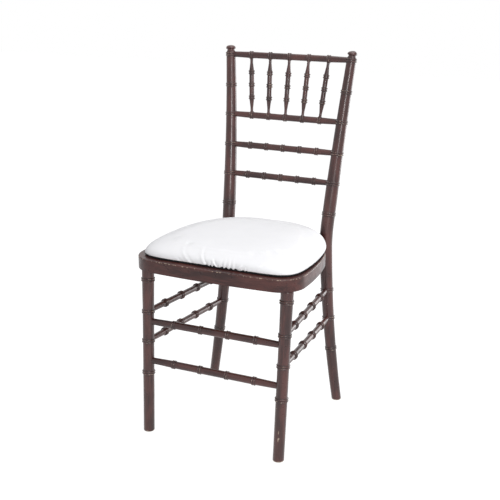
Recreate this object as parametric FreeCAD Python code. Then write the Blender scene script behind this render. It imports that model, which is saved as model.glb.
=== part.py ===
"""Wooden ballroom chair with turned bamboo rings and a lift-off cushion, in millimetres.

The chair faces -Y, +X is the right-hand side of someone looking at its front, and Z = 0 is the floor.
"""

import FreeCAD, Part
import math
import os
from FreeCAD import Placement, Rotation, Vector

# Heights: the seat, and the ring spacings counted upwards from the floor or from the seat's top
SEAT_TOP = 451.5
SEAT_RAIL_HEIGHT = 30.0
BEND_BELOW_SEAT_TOP = 1.5
POST_RING_GAPS_FROM_FLOOR = (145.3, 84.3, 76.3)
POST_RING_GAPS_FROM_SEAT = (53.8, 77.8, 75.8, 78.1, 74.6, 78.6)
FINIAL_ABOVE_TOP_RING = 24.4
LEG_RING_GAPS_FROM_FLOOR = (155.0, 81.8, 74.7, 80.5)
FRONT_STRETCHER_ABOVE_RING = {"lower": 31.3, "upper": 50.1}

# Seat frame in plan; set-ins are measured from its widest line, and the rear edge from the posts
SEAT_DEPTH = 396.0
SEAT_WIDEST = 430.0
FRONT_CORNER_SET_IN = 4.0
SIDE_BEND_SET_IN = 17.0
REAR_CORNER_INSIDE_POST = 15.3
REAR_EDGE_BEHIND_POST = 5.9
FRONT_BOW = 10.5
WIDEST_FROM_FRONT = 100.0
BEND_FROM_FRONT = 237.5
FRONT_CORNER_RADIUS = 62.0
SIDE_BEND_RADIUS = 60.0
TOP_EDGE_RADIUS = 2.5
FRONT_RAIL_WIDTH = 60.0
SIDE_RAIL_WIDTH = 45.0
REAR_RAIL_WIDTH = 46.0
REAR_JOINT_OUTSIDE_CORNER = 2.0
TONGUE_LENGTH = 9.0
TONGUE_THICKNESS = 9.0
TONGUE_SHOULDER = 6.0
TONGUE_HEIGHT_SHARE = 0.45
REBATE_WIDTH = 10.0
PANEL_THICKNESS = 6.0
PANEL_RECESS = 0.5

# Rear posts: distances between the two axes, and how the axis leans and bows
POST_SPREAD_FOOT = 370.2
POST_SPREAD_SEAT = 280.6
POST_SPREAD_TOP = 339.8
POST_FOOT_FORWARD = 5.0
BACK_RAKE = 76.5
LEG_BOW = (-6.3, -3.6)
BACK_BOW = (-3.3, 3.1)
BEND_LENGTH = 56.0
POST_DIA_FOOT = 25.0
POST_DIA_SEAT = 33.4
POST_DIA_TOP = 24.2
POST_THICKEST_ABOVE_SEAT = 88.5
BEND_STEPS = 6
FINIAL_CAP_DIA = 25.2
FINIAL_NECK_DIA = 18.5
FINIAL_NECK_LENGTH = 2.5
FINIAL_FLARE_HEIGHT = 2.5
FINIAL_LIP_HEIGHT = 1.5
FINIAL_LIP_ROUNDING = 0.7
FINIAL_DOME_HEIGHT = 9.0
DOME_HEIGHT_SHARES = (0.0, 0.35, 0.65, 0.85)
DOME_TIP_SHARE = 0.25

# Front legs; the side set-in is measured from the seat's widest line
LEG_SIDE_SET_IN = 32.6
LEG_SETBACK = 40.1
LEG_FOOT_INWARD = 5.6
LEG_FOOT_FORWARD = 25.5
LEG_DIA_TOP = 30.3
LEG_DIA_KNEE = 28.3
LEG_DIA_FOOT = 27.2
LEG_KNEE_HEIGHT = 320.0
LEG_TENON_DIA = 18.0
LEG_TENON_LENGTH = 20.0
LEG_TENON_ROOT = 5.0
FOOT_ROUNDING = 2.5

# Turned rings, each of two beads with a groove between them
RING_WIDTH = 9.0
POST_RING_RISE = 2.0
LEG_RING_RISE = 2.4
COLLAR_WIDTH = 9.0
GROOVE_DEPTH = 0.9
BEAD_STEPS = 4

# Back rails, spindles and stretchers
RAIL_DIA = 16.4
RAIL_END_DIA = 14.4
RAIL_COLLAR_RISE = 2.1
RAIL_COLLARS = 5
COLLAR_PITCH = {"top_rail": 53.8, "spindle_rail": 47.7, "middle_rail": 46.9, "lower_back_rail": 47.0}
SPINDLE_DIA = 12.6
SPINDLE_END_DIA = 7.4
SPINDLE_RING_RISE = 1.8
SPINDLE_RING_WIDTH = 10.0
SPINDLE_RING_SHARES = (0.298, 0.508, 0.715)
FRONT_STRETCHER_DIA = 17.8
FRONT_STRETCHER_END_DIA = 15.6
SIDE_STRETCHER_DIA = 15.4
SIDE_STRETCHER_END_DIA = 13.6
STRETCHER_RING_DIA = 21.7
STRETCHER_RINGS = 4
LEG_SOCKET_DEPTH = 14.0
POST_SOCKET_DEPTH = 13.0
SPINDLE_SOCKET_DEPTH = 6.5
SOCKET_OVERRUN = 4.0
BARE_END_LENGTH = 3.0
GLUE_GAP = 0.1

# Corner blocks and fasteners
BLOCK_LEG = 42.0
BLOCK_HEIGHT = 18.0
BLOCK_SCREW_FROM_CORNER = 26.0
BLOCK_SCREW_SUNK = 4.0
SCREW_DIA = 4.0
SCREW_HEAD_DIA = 8.0
BLOCK_SCREW_LENGTH = 34.0
PANEL_SCREW_LENGTH = 18.0
PANEL_SCREW_EDGE = 5.0
PANEL_SCREW_FRONT_INWARD = 30.0
PANEL_SCREW_REAR_INWARD = 18.0
BOLT_DIA = 6.0
BOLT_HEAD_DIA = 10.0
BOLT_HEAD_HEIGHT = 6.0
BOLT_GRIP_IN_POST = 20.0
WASHER_DIA = 16.0
WASHER_THICKNESS = 1.6
SPOT_FACE_DEPTH = 3.5
HOLE_CLEARANCE = 0.25

# Cushion: how far it is set in from the seat frame, and its crowned shape
CUSHION_FRONT_SET_IN = 18.5
CUSHION_REAR_SET_IN = 1.6
CUSHION_SIDE_SET_IN = 6.5
CUSHION_WIDEST_AT = -0.45
CUSHION_REAR_TAPER = 0.14
CUSHION_FRONT_POWERS = (7.0, 3.2)
CUSHION_REAR_POWER = 3.23
CUSHION_SIDE_POWER = 3.85
CUSHION_CROWN = 39.5
CUSHION_CENTRE_DROP = 15.0
CUSHION_TUCK = 0.985
CUSHION_LIFT = 0.3
CUSHION_OUTLINE_STEPS = 28
CUSHION_LAYER_STEPS = 8
CUSHION_LAYER_ANGLES = (9.0, 85.0)
COVER_THICKNESS = 1.2
HEM_SHARE = 0.80
HEM_HEIGHT = 4.0
CUSHION_BOARD = 6.0
STRIP_LENGTH = 90.0
STRIP_WIDTH = 20.0
STRIP_SPACING = 180.0
STRIP_THICKNESS = 0.8


def running_heights(base, gaps):
    """Heights reached by adding the gaps one after another."""
    heights = []
    for gap in gaps:
        base += gap
        heights.append(base)
    return heights


POST_RINGS_BELOW = running_heights(0, POST_RING_GAPS_FROM_FLOOR)
POST_RINGS_ABOVE = running_heights(SEAT_TOP, POST_RING_GAPS_FROM_SEAT)
LEG_RINGS = running_heights(0, LEG_RING_GAPS_FROM_FLOOR)
FINIAL_TOP = POST_RINGS_ABOVE[-1] + FINIAL_ABOVE_TOP_RING
BEND_HEIGHT = SEAT_TOP - BEND_BELOW_SEAT_TOP
CAP_RADIUS = FINIAL_CAP_DIA / 2
POST_SETBACK = SEAT_DEPTH - REAR_EDGE_BEHIND_POST
CHAIR_DEPTH = POST_SETBACK + BACK_RAKE + CAP_RADIUS
SEAT_FRONT = -CHAIR_DEPTH / 2
SEAT_REAR = SEAT_FRONT + SEAT_DEPTH
SEAT_UNDERSIDE = SEAT_TOP - SEAT_RAIL_HEIGHT
POST_Y = SEAT_FRONT + POST_SETBACK
LEG_X = SEAT_WIDEST / 2 - LEG_SIDE_SET_IN
LEG_Y = SEAT_FRONT + LEG_SETBACK
LEDGE_HEIGHT = SEAT_TOP - PANEL_RECESS - PANEL_THICKNESS
UP = Vector(0, 0, 1)
ALONG = Vector(1, 0, 0)
SIDES = {"left": -1, "right": 1}


def mirrored(shape):
    """The same piece for the other side of the chair."""
    return shape.mirror(Vector(0, 0, 0), Vector(1, 0, 0))


def half(shape, side):
    return shape if side > 0 else mirrored(shape)


def bowed(start, end, bow, share):
    """A point on a shallow curve from start to end that bulges by bow at its middle."""
    bulge = 4 * share * (1 - share)
    return start + (end - start) * share + Vector(bow[0], bow[1], 0) * bulge


def raw_post_axis(z):
    """The right post's axis before its bend at the seat is eased."""
    seat = Vector(POST_SPREAD_SEAT / 2, POST_Y, BEND_HEIGHT)
    if z < BEND_HEIGHT:
        foot = Vector(POST_SPREAD_FOOT / 2, POST_Y - POST_FOOT_FORWARD, 0)
        return bowed(foot, seat, LEG_BOW, z / BEND_HEIGHT)
    top = Vector(POST_SPREAD_TOP / 2, POST_Y + BACK_RAKE, FINIAL_TOP)
    return bowed(seat, top, BACK_BOW, (z - BEND_HEIGHT) / (FINIAL_TOP - BEND_HEIGHT))


def post_axis(z):
    """The right post's axis, steam-bent smoothly round the seat."""
    low = BEND_HEIGHT - BEND_LENGTH / 2
    high = BEND_HEIGHT + BEND_LENGTH / 2
    if not low < z < high:
        return raw_post_axis(z)
    share = (z - low) / BEND_LENGTH
    enter = raw_post_axis(low) - raw_post_axis(low - 1)
    leave = raw_post_axis(high + 1) - raw_post_axis(high)
    start = raw_post_axis(low) * (2 * share**3 - 3 * share**2 + 1)
    end = raw_post_axis(high) * (3 * share**2 - 2 * share**3)
    start_pull = enter * BEND_LENGTH * (share**3 - 2 * share**2 + share)
    end_pull = leave * BEND_LENGTH * (share**3 - share**2)
    return start + end + start_pull + end_pull


def leg_axis(z):
    """The right front leg's straight, splayed axis."""
    top = Vector(LEG_X, LEG_Y, SEAT_UNDERSIDE)
    foot = Vector(LEG_X - LEG_FOOT_INWARD, LEG_Y - LEG_FOOT_FORWARD, 0)
    return foot + (top - foot) * (z / SEAT_UNDERSIDE)


def post_radius(z):
    if z < BEND_HEIGHT:
        return (POST_DIA_FOOT + (POST_DIA_SEAT - POST_DIA_FOOT) * z / BEND_HEIGHT) / 2
    thickest = SEAT_TOP + POST_THICKEST_ABOVE_SEAT
    taper = max(0, z - thickest) / (POST_RINGS_ABOVE[-1] - thickest)
    return (POST_DIA_SEAT + (POST_DIA_TOP - POST_DIA_SEAT) * taper) / 2


def leg_radius(z):
    if z > LEG_KNEE_HEIGHT:
        share = (z - LEG_KNEE_HEIGHT) / (SEAT_UNDERSIDE - LEG_KNEE_HEIGHT)
        return (LEG_DIA_KNEE + (LEG_DIA_TOP - LEG_DIA_KNEE) * share) / 2
    return (LEG_DIA_FOOT + (LEG_DIA_KNEE - LEG_DIA_FOOT) * z / LEG_KNEE_HEIGHT) / 2


def double_bead(centre, width, radius, rise, steps):
    """Stations of two rounded beads with a groove between them, as (place, radius)."""
    stations = []
    groove = rise - GROOVE_DEPTH
    for step in range(2 * steps + 1):
        share = step / steps - 1
        floor = groove * (1 - abs(share))
        swell = (rise - groove / 2) * abs(math.sin(math.pi * share))
        stations.append((centre + width / 2 * share, radius + floor + swell))
    return stations


def circle_wire(centre, direction, radius):
    wire = Part.Wire(Part.Circle(Vector(0, 0, 0), UP, radius).toShape())
    wire.Placement = Placement(centre, Rotation(UP, direction))
    return wire


def steam_bent(axis, stations):
    """A turned solid bent along an axis curve, its ends cut level. A station is (height, radius)."""
    wires = []
    for number, (z, radius) in enumerate(stations):
        level = number < 2 or number == len(stations) - 1
        direction = UP if level else axis(z + 1) - axis(z - 1)
        wires.append(circle_wire(axis(z), direction, radius))
    return Part.makeLoft(wires, True, True)


def lathe_turned(groups, start, direction):
    """A straight turned solid from start along direction. Groups hold stations of (place, radius).

    Stations and groups are joined by straight lines, and a group of five is a double bead of two arcs.
    """
    edges = []
    last = Vector(groups[0][0][0], 0, 0)
    for group in groups:
        points = [Vector(place, radius, 0) for place, radius in group]
        edges.append(Part.LineSegment(last, points[0]))
        if len(points) == 5:
            edges += [Part.Arc(*points[:3]), Part.Arc(*points[2:])]
        else:
            edges += [Part.LineSegment(a, b) for a, b in zip(points, points[1:])]
        last = points[-1]
    foot = Vector(last.x, 0, 0)
    edges.append(Part.LineSegment(last, foot))
    edges.append(Part.LineSegment(foot, Vector(groups[0][0][0], 0, 0)))
    face = Part.Face(Part.Wire([edge.toShape() for edge in edges]))
    solid = face.revolve(Vector(0, 0, 0), ALONG, 360)
    solid.Placement = Placement(start, Rotation(ALONG, direction))
    return solid


def finial_stations():
    """A short neck above the top ring, then a mushroom cap with a domed top."""
    neck = FINIAL_NECK_DIA / 2
    dome_base = FINIAL_TOP - FINIAL_DOME_HEIGHT
    lip = dome_base - FINIAL_LIP_HEIGHT
    neck_top = lip - FINIAL_FLARE_HEIGHT
    stations = [(neck_top - FINIAL_NECK_LENGTH, neck), (neck_top, neck)]
    stations.append((lip, CAP_RADIUS - FINIAL_LIP_ROUNDING))
    for share in DOME_HEIGHT_SHARES:
        height = dome_base + FINIAL_DOME_HEIGHT * share
        stations.append((height, CAP_RADIUS * math.sqrt(1 - share**2)))
    stations.append((FINIAL_TOP, CAP_RADIUS * DOME_TIP_SHARE))
    return stations


def bend_heights():
    """Heights at which the bend at the seat is followed closely."""
    return [BEND_HEIGHT + BEND_LENGTH * (step / BEND_STEPS - 0.5) for step in range(BEND_STEPS + 1)]


def rear_post_blank():
    stations = [(0, post_radius(0) - FOOT_ROUNDING), (FOOT_ROUNDING, post_radius(FOOT_ROUNDING))]
    for ring in POST_RINGS_BELOW + POST_RINGS_ABOVE:
        stations += double_bead(ring, RING_WIDTH, post_radius(ring), POST_RING_RISE, BEAD_STEPS)
    thickest = SEAT_TOP + POST_THICKEST_ABOVE_SEAT
    stations += [(z, post_radius(z)) for z in bend_heights() + [thickest]]
    return steam_bent(post_axis, sorted(stations) + finial_stations())


def front_leg_blank():
    """A front leg turned straight, then cut level at the floor and under the seat."""
    direction = (leg_axis(SEAT_UNDERSIDE) - leg_axis(0)).normalize()
    spare = LEG_TENON_ROOT
    groups = [[(-spare, leg_radius(0)), (0, leg_radius(0))]]
    for ring in LEG_RINGS:
        place = ring / direction.z
        groups.append(double_bead(place, RING_WIDTH, leg_radius(ring), LEG_RING_RISE, 2))
    top = SEAT_UNDERSIDE / direction.z
    knee = LEG_KNEE_HEIGHT / direction.z
    groups.insert(-1, [(knee, leg_radius(LEG_KNEE_HEIGHT))])
    groups.append([(top, leg_radius(SEAT_UNDERSIDE)), (top + spare, leg_radius(SEAT_UNDERSIDE))])
    leg = lathe_turned(groups, leg_axis(0), direction)
    room = SEAT_WIDEST + SEAT_DEPTH
    level = centred_box((room, room, SEAT_UNDERSIDE), leg_axis(SEAT_UNDERSIDE / 2))
    leg = leg.common(level)
    rim = [edge for edge in leg.Edges if all(v.Z < GLUE_GAP for v in edge.Vertexes)]
    return leg.makeFillet(FOOT_ROUNDING, rim).fuse(leg_tenon(0))


def leg_tenon(gap):
    """The round tenon on a front leg, or with a gap the blind hole that it is glued in."""
    start = leg_axis(SEAT_UNDERSIDE - LEG_TENON_ROOT)
    direction = leg_axis(1) - leg_axis(0)
    length = LEG_TENON_LENGTH + LEG_TENON_ROOT + gap
    return Part.makeCylinder(LEG_TENON_DIA / 2 + gap, length, start, direction)


class Member:
    """A straight turned rail, spindle or stretcher, whose thinner ends are glued into two hosts.

    rings are places along it, each with its width and rise; hosts are the radii of what holds its ends.
    """

    def __init__(self, start, end, hosts, depth, middle_dia, end_dia):
        self.start = start
        self.length = (end - start).Length
        self.direction = (end - start).normalize()
        self.hosts = hosts
        self.depth = depth
        self.middle = middle_dia / 2
        self.tip = end_dia / 2

    def solid(self, ring_places, ring_width, rise):
        first = self.hosts[0] - self.depth
        last = self.length - self.hosts[1] + self.depth
        groups = [[(first, self.tip), (self.hosts[0] + BARE_END_LENGTH, self.tip)]]
        for place in ring_places:
            groups.append(double_bead(place, ring_width, self.middle, rise, 2))
        groups.append([(self.length - self.hosts[1] - BARE_END_LENGTH, self.tip), (last, self.tip)])
        return lathe_turned(groups, self.start, self.direction)

    def socket(self, end):
        """The drilled hole in the host at end 0 or 1, a glue gap larger than the tip."""
        near = self.hosts[end] - self.depth - GLUE_GAP
        far = self.hosts[end] + SOCKET_OVERRUN
        if end == 1:
            near, far = self.length - far, self.length - near
        start = self.start + self.direction * near
        return Part.makeCylinder(self.tip + GLUE_GAP, far - near, start, self.direction)


def flip(point):
    return Vector(-point.x, point.y, point.z)


def back_rail(z):
    point = post_axis(z)
    radius = post_radius(z)
    return Member(flip(point), point, (radius, radius), POST_SOCKET_DEPTH, RAIL_DIA, RAIL_END_DIA)


def front_stretcher(z):
    point = leg_axis(z)
    radius = leg_radius(z)
    sizes = (FRONT_STRETCHER_DIA, FRONT_STRETCHER_END_DIA)
    return Member(flip(point), point, (radius, radius), LEG_SOCKET_DEPTH, *sizes)


def side_stretcher(leg_z, post_z):
    hosts = (leg_radius(leg_z), post_radius(post_z))
    depth = min(LEG_SOCKET_DEPTH, POST_SOCKET_DEPTH)
    sizes = (SIDE_STRETCHER_DIA, SIDE_STRETCHER_END_DIA)
    return Member(leg_axis(leg_z), post_axis(post_z), hosts, depth, *sizes)


def even_places(member, count):
    """Ring places that divide the member's whole length evenly."""
    return [member.length * (i + 1) / (count + 1) for i in range(count)]


def collar_offsets(rail_name):
    """How far each collar of a back rail is to the right of the rail's middle."""
    return [COLLAR_PITCH[rail_name] * (i - (RAIL_COLLARS - 1) / 2) for i in range(RAIL_COLLARS)]


def spindle(low_rail, high_rail, number):
    low = Vector(collar_offsets("spindle_rail")[number], low_rail.start.y, low_rail.start.z)
    high = Vector(collar_offsets("top_rail")[number], high_rail.start.y, high_rail.start.z)
    host = RAIL_DIA / 2 + RAIL_COLLAR_RISE
    return Member(low, high, (host, host), SPINDLE_SOCKET_DEPTH, SPINDLE_DIA, SPINDLE_END_DIA)


def eased_bend(corner, widest, bend, rear, radius):
    """Start, middle and end of the arc that eases the bend from a side's arc into the line to the rear."""
    side = Part.Arc(corner, widest, bend).toShape().Curve
    along = (rear - bend).normalize()
    inward = Vector(-along.y, along.x, 0)
    from_hub = bend + inward * radius - side.Center
    slope = from_hub.dot(along)
    excess = from_hub.dot(from_hub) - (side.Radius - radius) ** 2
    end = bend + along * (-slope - math.sqrt(slope**2 - excess))
    centre = end + inward * radius
    outward = (centre - side.Center).normalize()
    middle = centre + (outward - inward).normalize() * radius
    return centre + outward * radius, middle, end


def plan_prism(points_right, front_middle, height, z):
    """A prism whose plan is symmetric, with a bowed front, arced sides and eased corners.

    points_right are the front corner, the widest point, the side bend and the rear corner.
    """
    corner, widest, bend, rear = points_right
    ease = eased_bend(*points_right, SIDE_BEND_RADIUS)
    edges = [Part.Arc(flip(corner), front_middle, corner), Part.LineSegment(rear, flip(rear))]
    for place in (Vector, flip):
        on_side, middle, on_line = [place(point) for point in ease]
        edges.append(Part.Arc(place(corner), place(widest), on_side))
        edges.append(Part.Arc(on_side, middle, on_line))
        edges.append(Part.LineSegment(on_line, place(rear)))
    ordered = Part.__sortEdges__([edge.toShape() for edge in edges])
    prism = Part.Face(Part.Wire(ordered)).extrude(Vector(0, 0, height))
    upright = [e for e in prism.Edges if is_upright_at(e, corner) or is_upright_at(e, flip(corner))]
    prism = prism.makeFillet(FRONT_CORNER_RADIUS, upright)
    prism.translate(Vector(0, 0, z))
    return prism


def is_upright_at(edge, point):
    ends = [vertex.Point for vertex in edge.Vertexes]
    return len(ends) == 2 and all(math.hypot(p.x - point.x, p.y - point.y) < 0.01 for p in ends)


def seat_points():
    """The right-hand corners of the seat's plan: front corner, widest point, side bend and rear corner."""
    side = SEAT_WIDEST / 2
    corner = Vector(side - FRONT_CORNER_SET_IN, SEAT_FRONT + FRONT_BOW, 0)
    widest = Vector(side, SEAT_FRONT + WIDEST_FROM_FRONT, 0)
    bend = Vector(side - SIDE_BEND_SET_IN, SEAT_FRONT + BEND_FROM_FRONT, 0)
    rear = Vector(POST_SPREAD_SEAT / 2 - REAR_CORNER_INSIDE_POST, SEAT_REAR, 0)
    return corner, widest, bend, rear


def opening_points():
    """The right-hand corners of the opening inside the seat frame, front to back."""
    _, widest, bend, rear = seat_points()
    joint_share = (REAR_RAIL_WIDTH / 2) / (rear.y - bend.y)
    rear_outer = rear.x + (bend.x - rear.x) * joint_share
    lean = math.atan2(bend.x - rear.x, rear.y - bend.y)
    return [
        Vector(widest.x - SIDE_RAIL_WIDTH, SEAT_FRONT + FRONT_RAIL_WIDTH, 0),
        Vector(bend.x - SIDE_RAIL_WIDTH, bend.y, 0),
        Vector(rear_outer - SIDE_RAIL_WIDTH / math.cos(lean), SEAT_REAR - REAR_RAIL_WIDTH, 0),
    ]


def opening_prism(grow, z, height):
    """The frame's opening, or the rebate round it where it grows."""
    right = opening_points()
    points = right + [flip(p) for p in reversed(right)]
    face = Part.Face(Part.makePolygon(points + points[:1]))
    if grow:
        face = Part.Face(face.makeOffset2D(grow, join=2).OuterWire)
    prism = face.extrude(Vector(0, 0, height))
    prism.translate(Vector(0, 0, z))
    return prism


def centred_box(size, centre):
    return Part.makeBox(size[0], size[1], size[2], centre - Vector(*size) * 0.5)


def seat_blank():
    """All four rails of the seat frame as one ring, before they are parted at their joints."""
    front = Vector(0, SEAT_FRONT, 0)
    blank = plan_prism(seat_points(), front, SEAT_RAIL_HEIGHT, SEAT_UNDERSIDE)
    blank = blank.makeFillet(TOP_EDGE_RADIUS, [e for e in blank.Edges if is_rounded_rim(e)])
    blank = blank.cut(opening_prism(0, SEAT_UNDERSIDE - 1, SEAT_RAIL_HEIGHT + 2))
    blank = blank.cut(opening_prism(REBATE_WIDTH, LEDGE_HEIGHT, PANEL_THICKNESS + PANEL_RECESS + 1))
    for side in SIDES.values():
        blank = blank.cut(half(leg_tenon(GLUE_GAP), side))
        blank = blank.cut(half(post_notch(), side))
    return blank


def is_rounded_rim(edge):
    """Whether an edge is on the seat's top and not along its rear."""
    return all(v.Z > SEAT_TOP - GLUE_GAP and v.Y < SEAT_REAR - GLUE_GAP for v in edge.Vertexes)


def post_notch():
    """The round notch in a rear corner of the seat frame that a post is glued and bolted in."""
    low = POST_RINGS_BELOW[-1] + RING_WIDTH
    high = POST_RINGS_ABOVE[0] - RING_WIDTH
    heights = [low, low + 1] + bend_heights() + [high]
    return steam_bent(post_axis, [(z, post_radius(z) + GLUE_GAP) for z in heights])


def seat_tongue(length, width, centre, gap):
    size = (length, width, TONGUE_THICKNESS + 2 * gap)
    height = SEAT_UNDERSIDE + SEAT_RAIL_HEIGHT * TONGUE_HEIGHT_SHARE
    return centred_box(size, Vector(centre.x, centre.y, height))


def front_tongue(gap):
    """The tongue on a side rail's front end, or its groove in the front rail."""
    inner = opening_points()[0]
    width = SIDE_RAIL_WIDTH - 2 * TONGUE_SHOULDER
    middle = Vector(inner.x + SIDE_RAIL_WIDTH / 2 - TONGUE_SHOULDER / 2, inner.y - TONGUE_LENGTH / 2, 0)
    return seat_tongue(width + 2 * gap, TONGUE_LENGTH + 2 * gap, middle, gap)


def rear_joint_x():
    """Where the rear rail meets the right side rail, just outside the opening's corner."""
    return opening_points()[2].x + REAR_JOINT_OUTSIDE_CORNER


def rear_tongue(gap):
    """The tongue on the rear rail's right end, or its groove in the side rail."""
    width = REAR_RAIL_WIDTH - 2 * TONGUE_SHOULDER
    middle = Vector(rear_joint_x() + TONGUE_LENGTH / 2, SEAT_REAR - REAR_RAIL_WIDTH / 2, 0)
    return seat_tongue(TONGUE_LENGTH + 2 * gap, width + 2 * gap, middle, gap)


def seat_rails():
    blank = seat_blank()
    joint_y = SEAT_FRONT + FRONT_RAIL_WIDTH
    big = 2 * SEAT_DEPTH
    front_zone = centred_box((big, big, big), Vector(0, joint_y - big / 2, 0) + UP * SEAT_TOP)
    rear_size = (2 * rear_joint_x(), big, big)
    rear_zone = centred_box(rear_size, Vector(0, joint_y + big / 2, 0) + UP * SEAT_TOP)
    right_zone = centred_box((big, big, big), Vector(big / 2, 0, SEAT_TOP))
    front = blank.common(front_zone)
    rear = blank.common(rear_zone)
    side = blank.cut(front_zone).cut(rear_zone).common(right_zone)
    side = side.fuse(front_tongue(0)).cut(rear_tongue(GLUE_GAP))
    for sign in SIDES.values():
        front = front.cut(half(front_tongue(GLUE_GAP), sign))
        rear = rear.fuse(half(rear_tongue(0), sign))
    return {
        "seat_front_rail": front,
        "seat_rear_rail": rear,
        "seat_side_rail_right": side,
        "seat_side_rail_left": mirrored(side),
    }


def seat_panel():
    panel = opening_prism(REBATE_WIDTH - HOLE_CLEARANCE, LEDGE_HEIGHT, PANEL_THICKNESS)
    for screw in panel_screws(HOLE_CLEARANCE):
        panel = panel.cut(screw)
    return panel


def panel_screws(gap):
    """Countersunk screws that hold the panel on its ledge, near the corners."""
    front, _, rear = opening_points()
    places = [
        Vector(front.x - PANEL_SCREW_FRONT_INWARD, front.y - PANEL_SCREW_EDGE, 0),
        Vector(rear.x - PANEL_SCREW_REAR_INWARD, rear.y + PANEL_SCREW_EDGE, 0),
    ]
    places += [flip(place) for place in places]
    top = UP * (LEDGE_HEIGHT + PANEL_THICKNESS)
    return [countersunk_screw(place + top, UP * -1, PANEL_SCREW_LENGTH, gap) for place in places]


def countersunk_screw(place, direction, length, gap):
    """A wood screw with its flat head's top at place, driven along direction."""
    head = SCREW_HEAD_DIA / 2 + gap
    shank = SCREW_DIA / 2 + gap
    cone = Part.makeCone(head, shank, head - shank, place, direction)
    return cone.fuse(Part.makeCylinder(shank, length, place, direction))


def block_corner(number):
    """The opening's corner that a right-hand block fills, and the two ways along its sides."""
    points = opening_points()
    corner = points[number]
    along_side = (points[1] - corner).normalize()
    return corner, Vector(-1, 0, 0), along_side


def block_face_middle(number):
    """The middle of a block's long face."""
    corner, across, along = block_corner(number)
    return corner + (across + along) * (BLOCK_LEG / 2)


def corner_block(number):
    corner, across, along = block_corner(number)
    points = [corner, corner + across * BLOCK_LEG, corner + along * BLOCK_LEG, corner]
    block = Part.Face(Part.makePolygon(points)).extrude(Vector(0, 0, BLOCK_HEIGHT))
    block.translate(Vector(0, 0, LEDGE_HEIGHT - BLOCK_HEIGHT))
    return block


def block_height():
    return LEDGE_HEIGHT - BLOCK_HEIGHT / 2


def block_screw_lines():
    """Head places and directions of the right front block's two screws, one into each rail."""
    corner, across, along = block_corner(0)
    lines = []
    for way, side in ((across, along), (along, across)):
        square = Vector(-way.y, way.x, 0)
        if square.dot(side) > 0:
            square = square * -1
        face_depth = BLOCK_LEG - BLOCK_SCREW_FROM_CORNER
        foot = corner + way * BLOCK_SCREW_FROM_CORNER + UP * block_height()
        lines.append((foot - square * (face_depth - BLOCK_SCREW_SUNK), square))
    return lines


def block_screws():
    return [countersunk_screw(start, way, BLOCK_SCREW_LENGTH, 0) for start, way in block_screw_lines()]


def block_screw_holes():
    """The screws' clearance holes, counterbored from the block's long face."""
    holes = []
    for start, way in block_screw_lines():
        hole = countersunk_screw(start, way, BLOCK_SCREW_LENGTH, HOLE_CLEARANCE)
        radius = SCREW_HEAD_DIA / 2 + HOLE_CLEARANCE
        holes.append(hole.fuse(Part.makeCylinder(radius, BLOCK_LEG, start, way * -1)))
    return holes


def post_bolt_line():
    """Where the right post's washer sits, sunk in the rear block, and the bolt's way to the post's axis."""
    middle = block_face_middle(2) + UP * block_height()
    way = (post_axis(block_height()) - middle).normalize()
    return middle + way * SPOT_FACE_DEPTH, way


def post_bolt():
    start, way = post_bolt_line()
    seat = start - way * WASHER_THICKNESS
    reach = (post_axis(block_height()) - start).Length - post_radius(block_height()) + BOLT_GRIP_IN_POST
    shank = Part.makeCylinder(BOLT_DIA / 2, reach + WASHER_THICKNESS, seat, way)
    return shank.fuse(Part.makeCylinder(BOLT_HEAD_DIA / 2, BOLT_HEAD_HEIGHT, seat, way * -1))


def post_bolt_hole():
    """The bolt's clearance hole through block and rail, with the washer's spot face."""
    start, way = post_bolt_line()
    hole = Part.makeCylinder(BOLT_DIA / 2 + HOLE_CLEARANCE, 2 * BLOCK_LEG, start, way)
    return hole.fuse(Part.makeCylinder(WASHER_DIA / 2 + HOLE_CLEARANCE, BLOCK_LEG / 2, start, way * -1))


def bolt_washer():
    start, way = post_bolt_line()
    ring = Part.makeCylinder(WASHER_DIA / 2, WASHER_THICKNESS, start, way * -1)
    return ring.cut(Part.makeCylinder(BOLT_DIA / 2 + HOLE_CLEARANCE, WASHER_THICKNESS, start, way * -1))


def signed_power(value, power):
    return math.copysign(abs(value) ** power, value)


def cushion_outline(inset, front_power):
    """The cushion's plan at Z = 0: square at the front corners, round and narrower towards the back."""
    front = SEAT_FRONT + CUSHION_FRONT_SET_IN + inset
    back = SEAT_REAR - CUSHION_REAR_SET_IN - inset
    half_width = SEAT_WIDEST / 2 - CUSHION_SIDE_SET_IN - inset
    points = []
    for step in range(CUSHION_OUTLINE_STEPS):
        angle = 2 * math.pi * (step + 0.5) / CUSHION_OUTLINE_STEPS
        power = CUSHION_REAR_POWER if math.sin(angle) > 0 else front_power
        across = signed_power(math.cos(angle), 2 / power)
        along = signed_power(math.sin(angle), 2 / power)
        behind_widest = max(0, along - CUSHION_WIDEST_AT)
        width = half_width * (1 - CUSHION_REAR_TAPER * behind_widest**2)
        points.append(Vector(width * across, (front + back) / 2 + (back - front) / 2 * along, 0))
    curve = Part.BSplineCurve()
    curve.interpolate(points, PeriodicFlag=True)
    return Part.Wire(curve.toShape())


def scaled_wire(wire, share, z):
    """The cushion's outline shrunk about its middle and raised to a height."""
    middle = (SEAT_FRONT + CUSHION_FRONT_SET_IN + SEAT_REAR - CUSHION_REAR_SET_IN) / 2
    copy = wire.copy()
    copy.scale(share, Vector(0, middle, 0))
    copy.translate(Vector(0, 0, z))
    return copy


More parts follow.
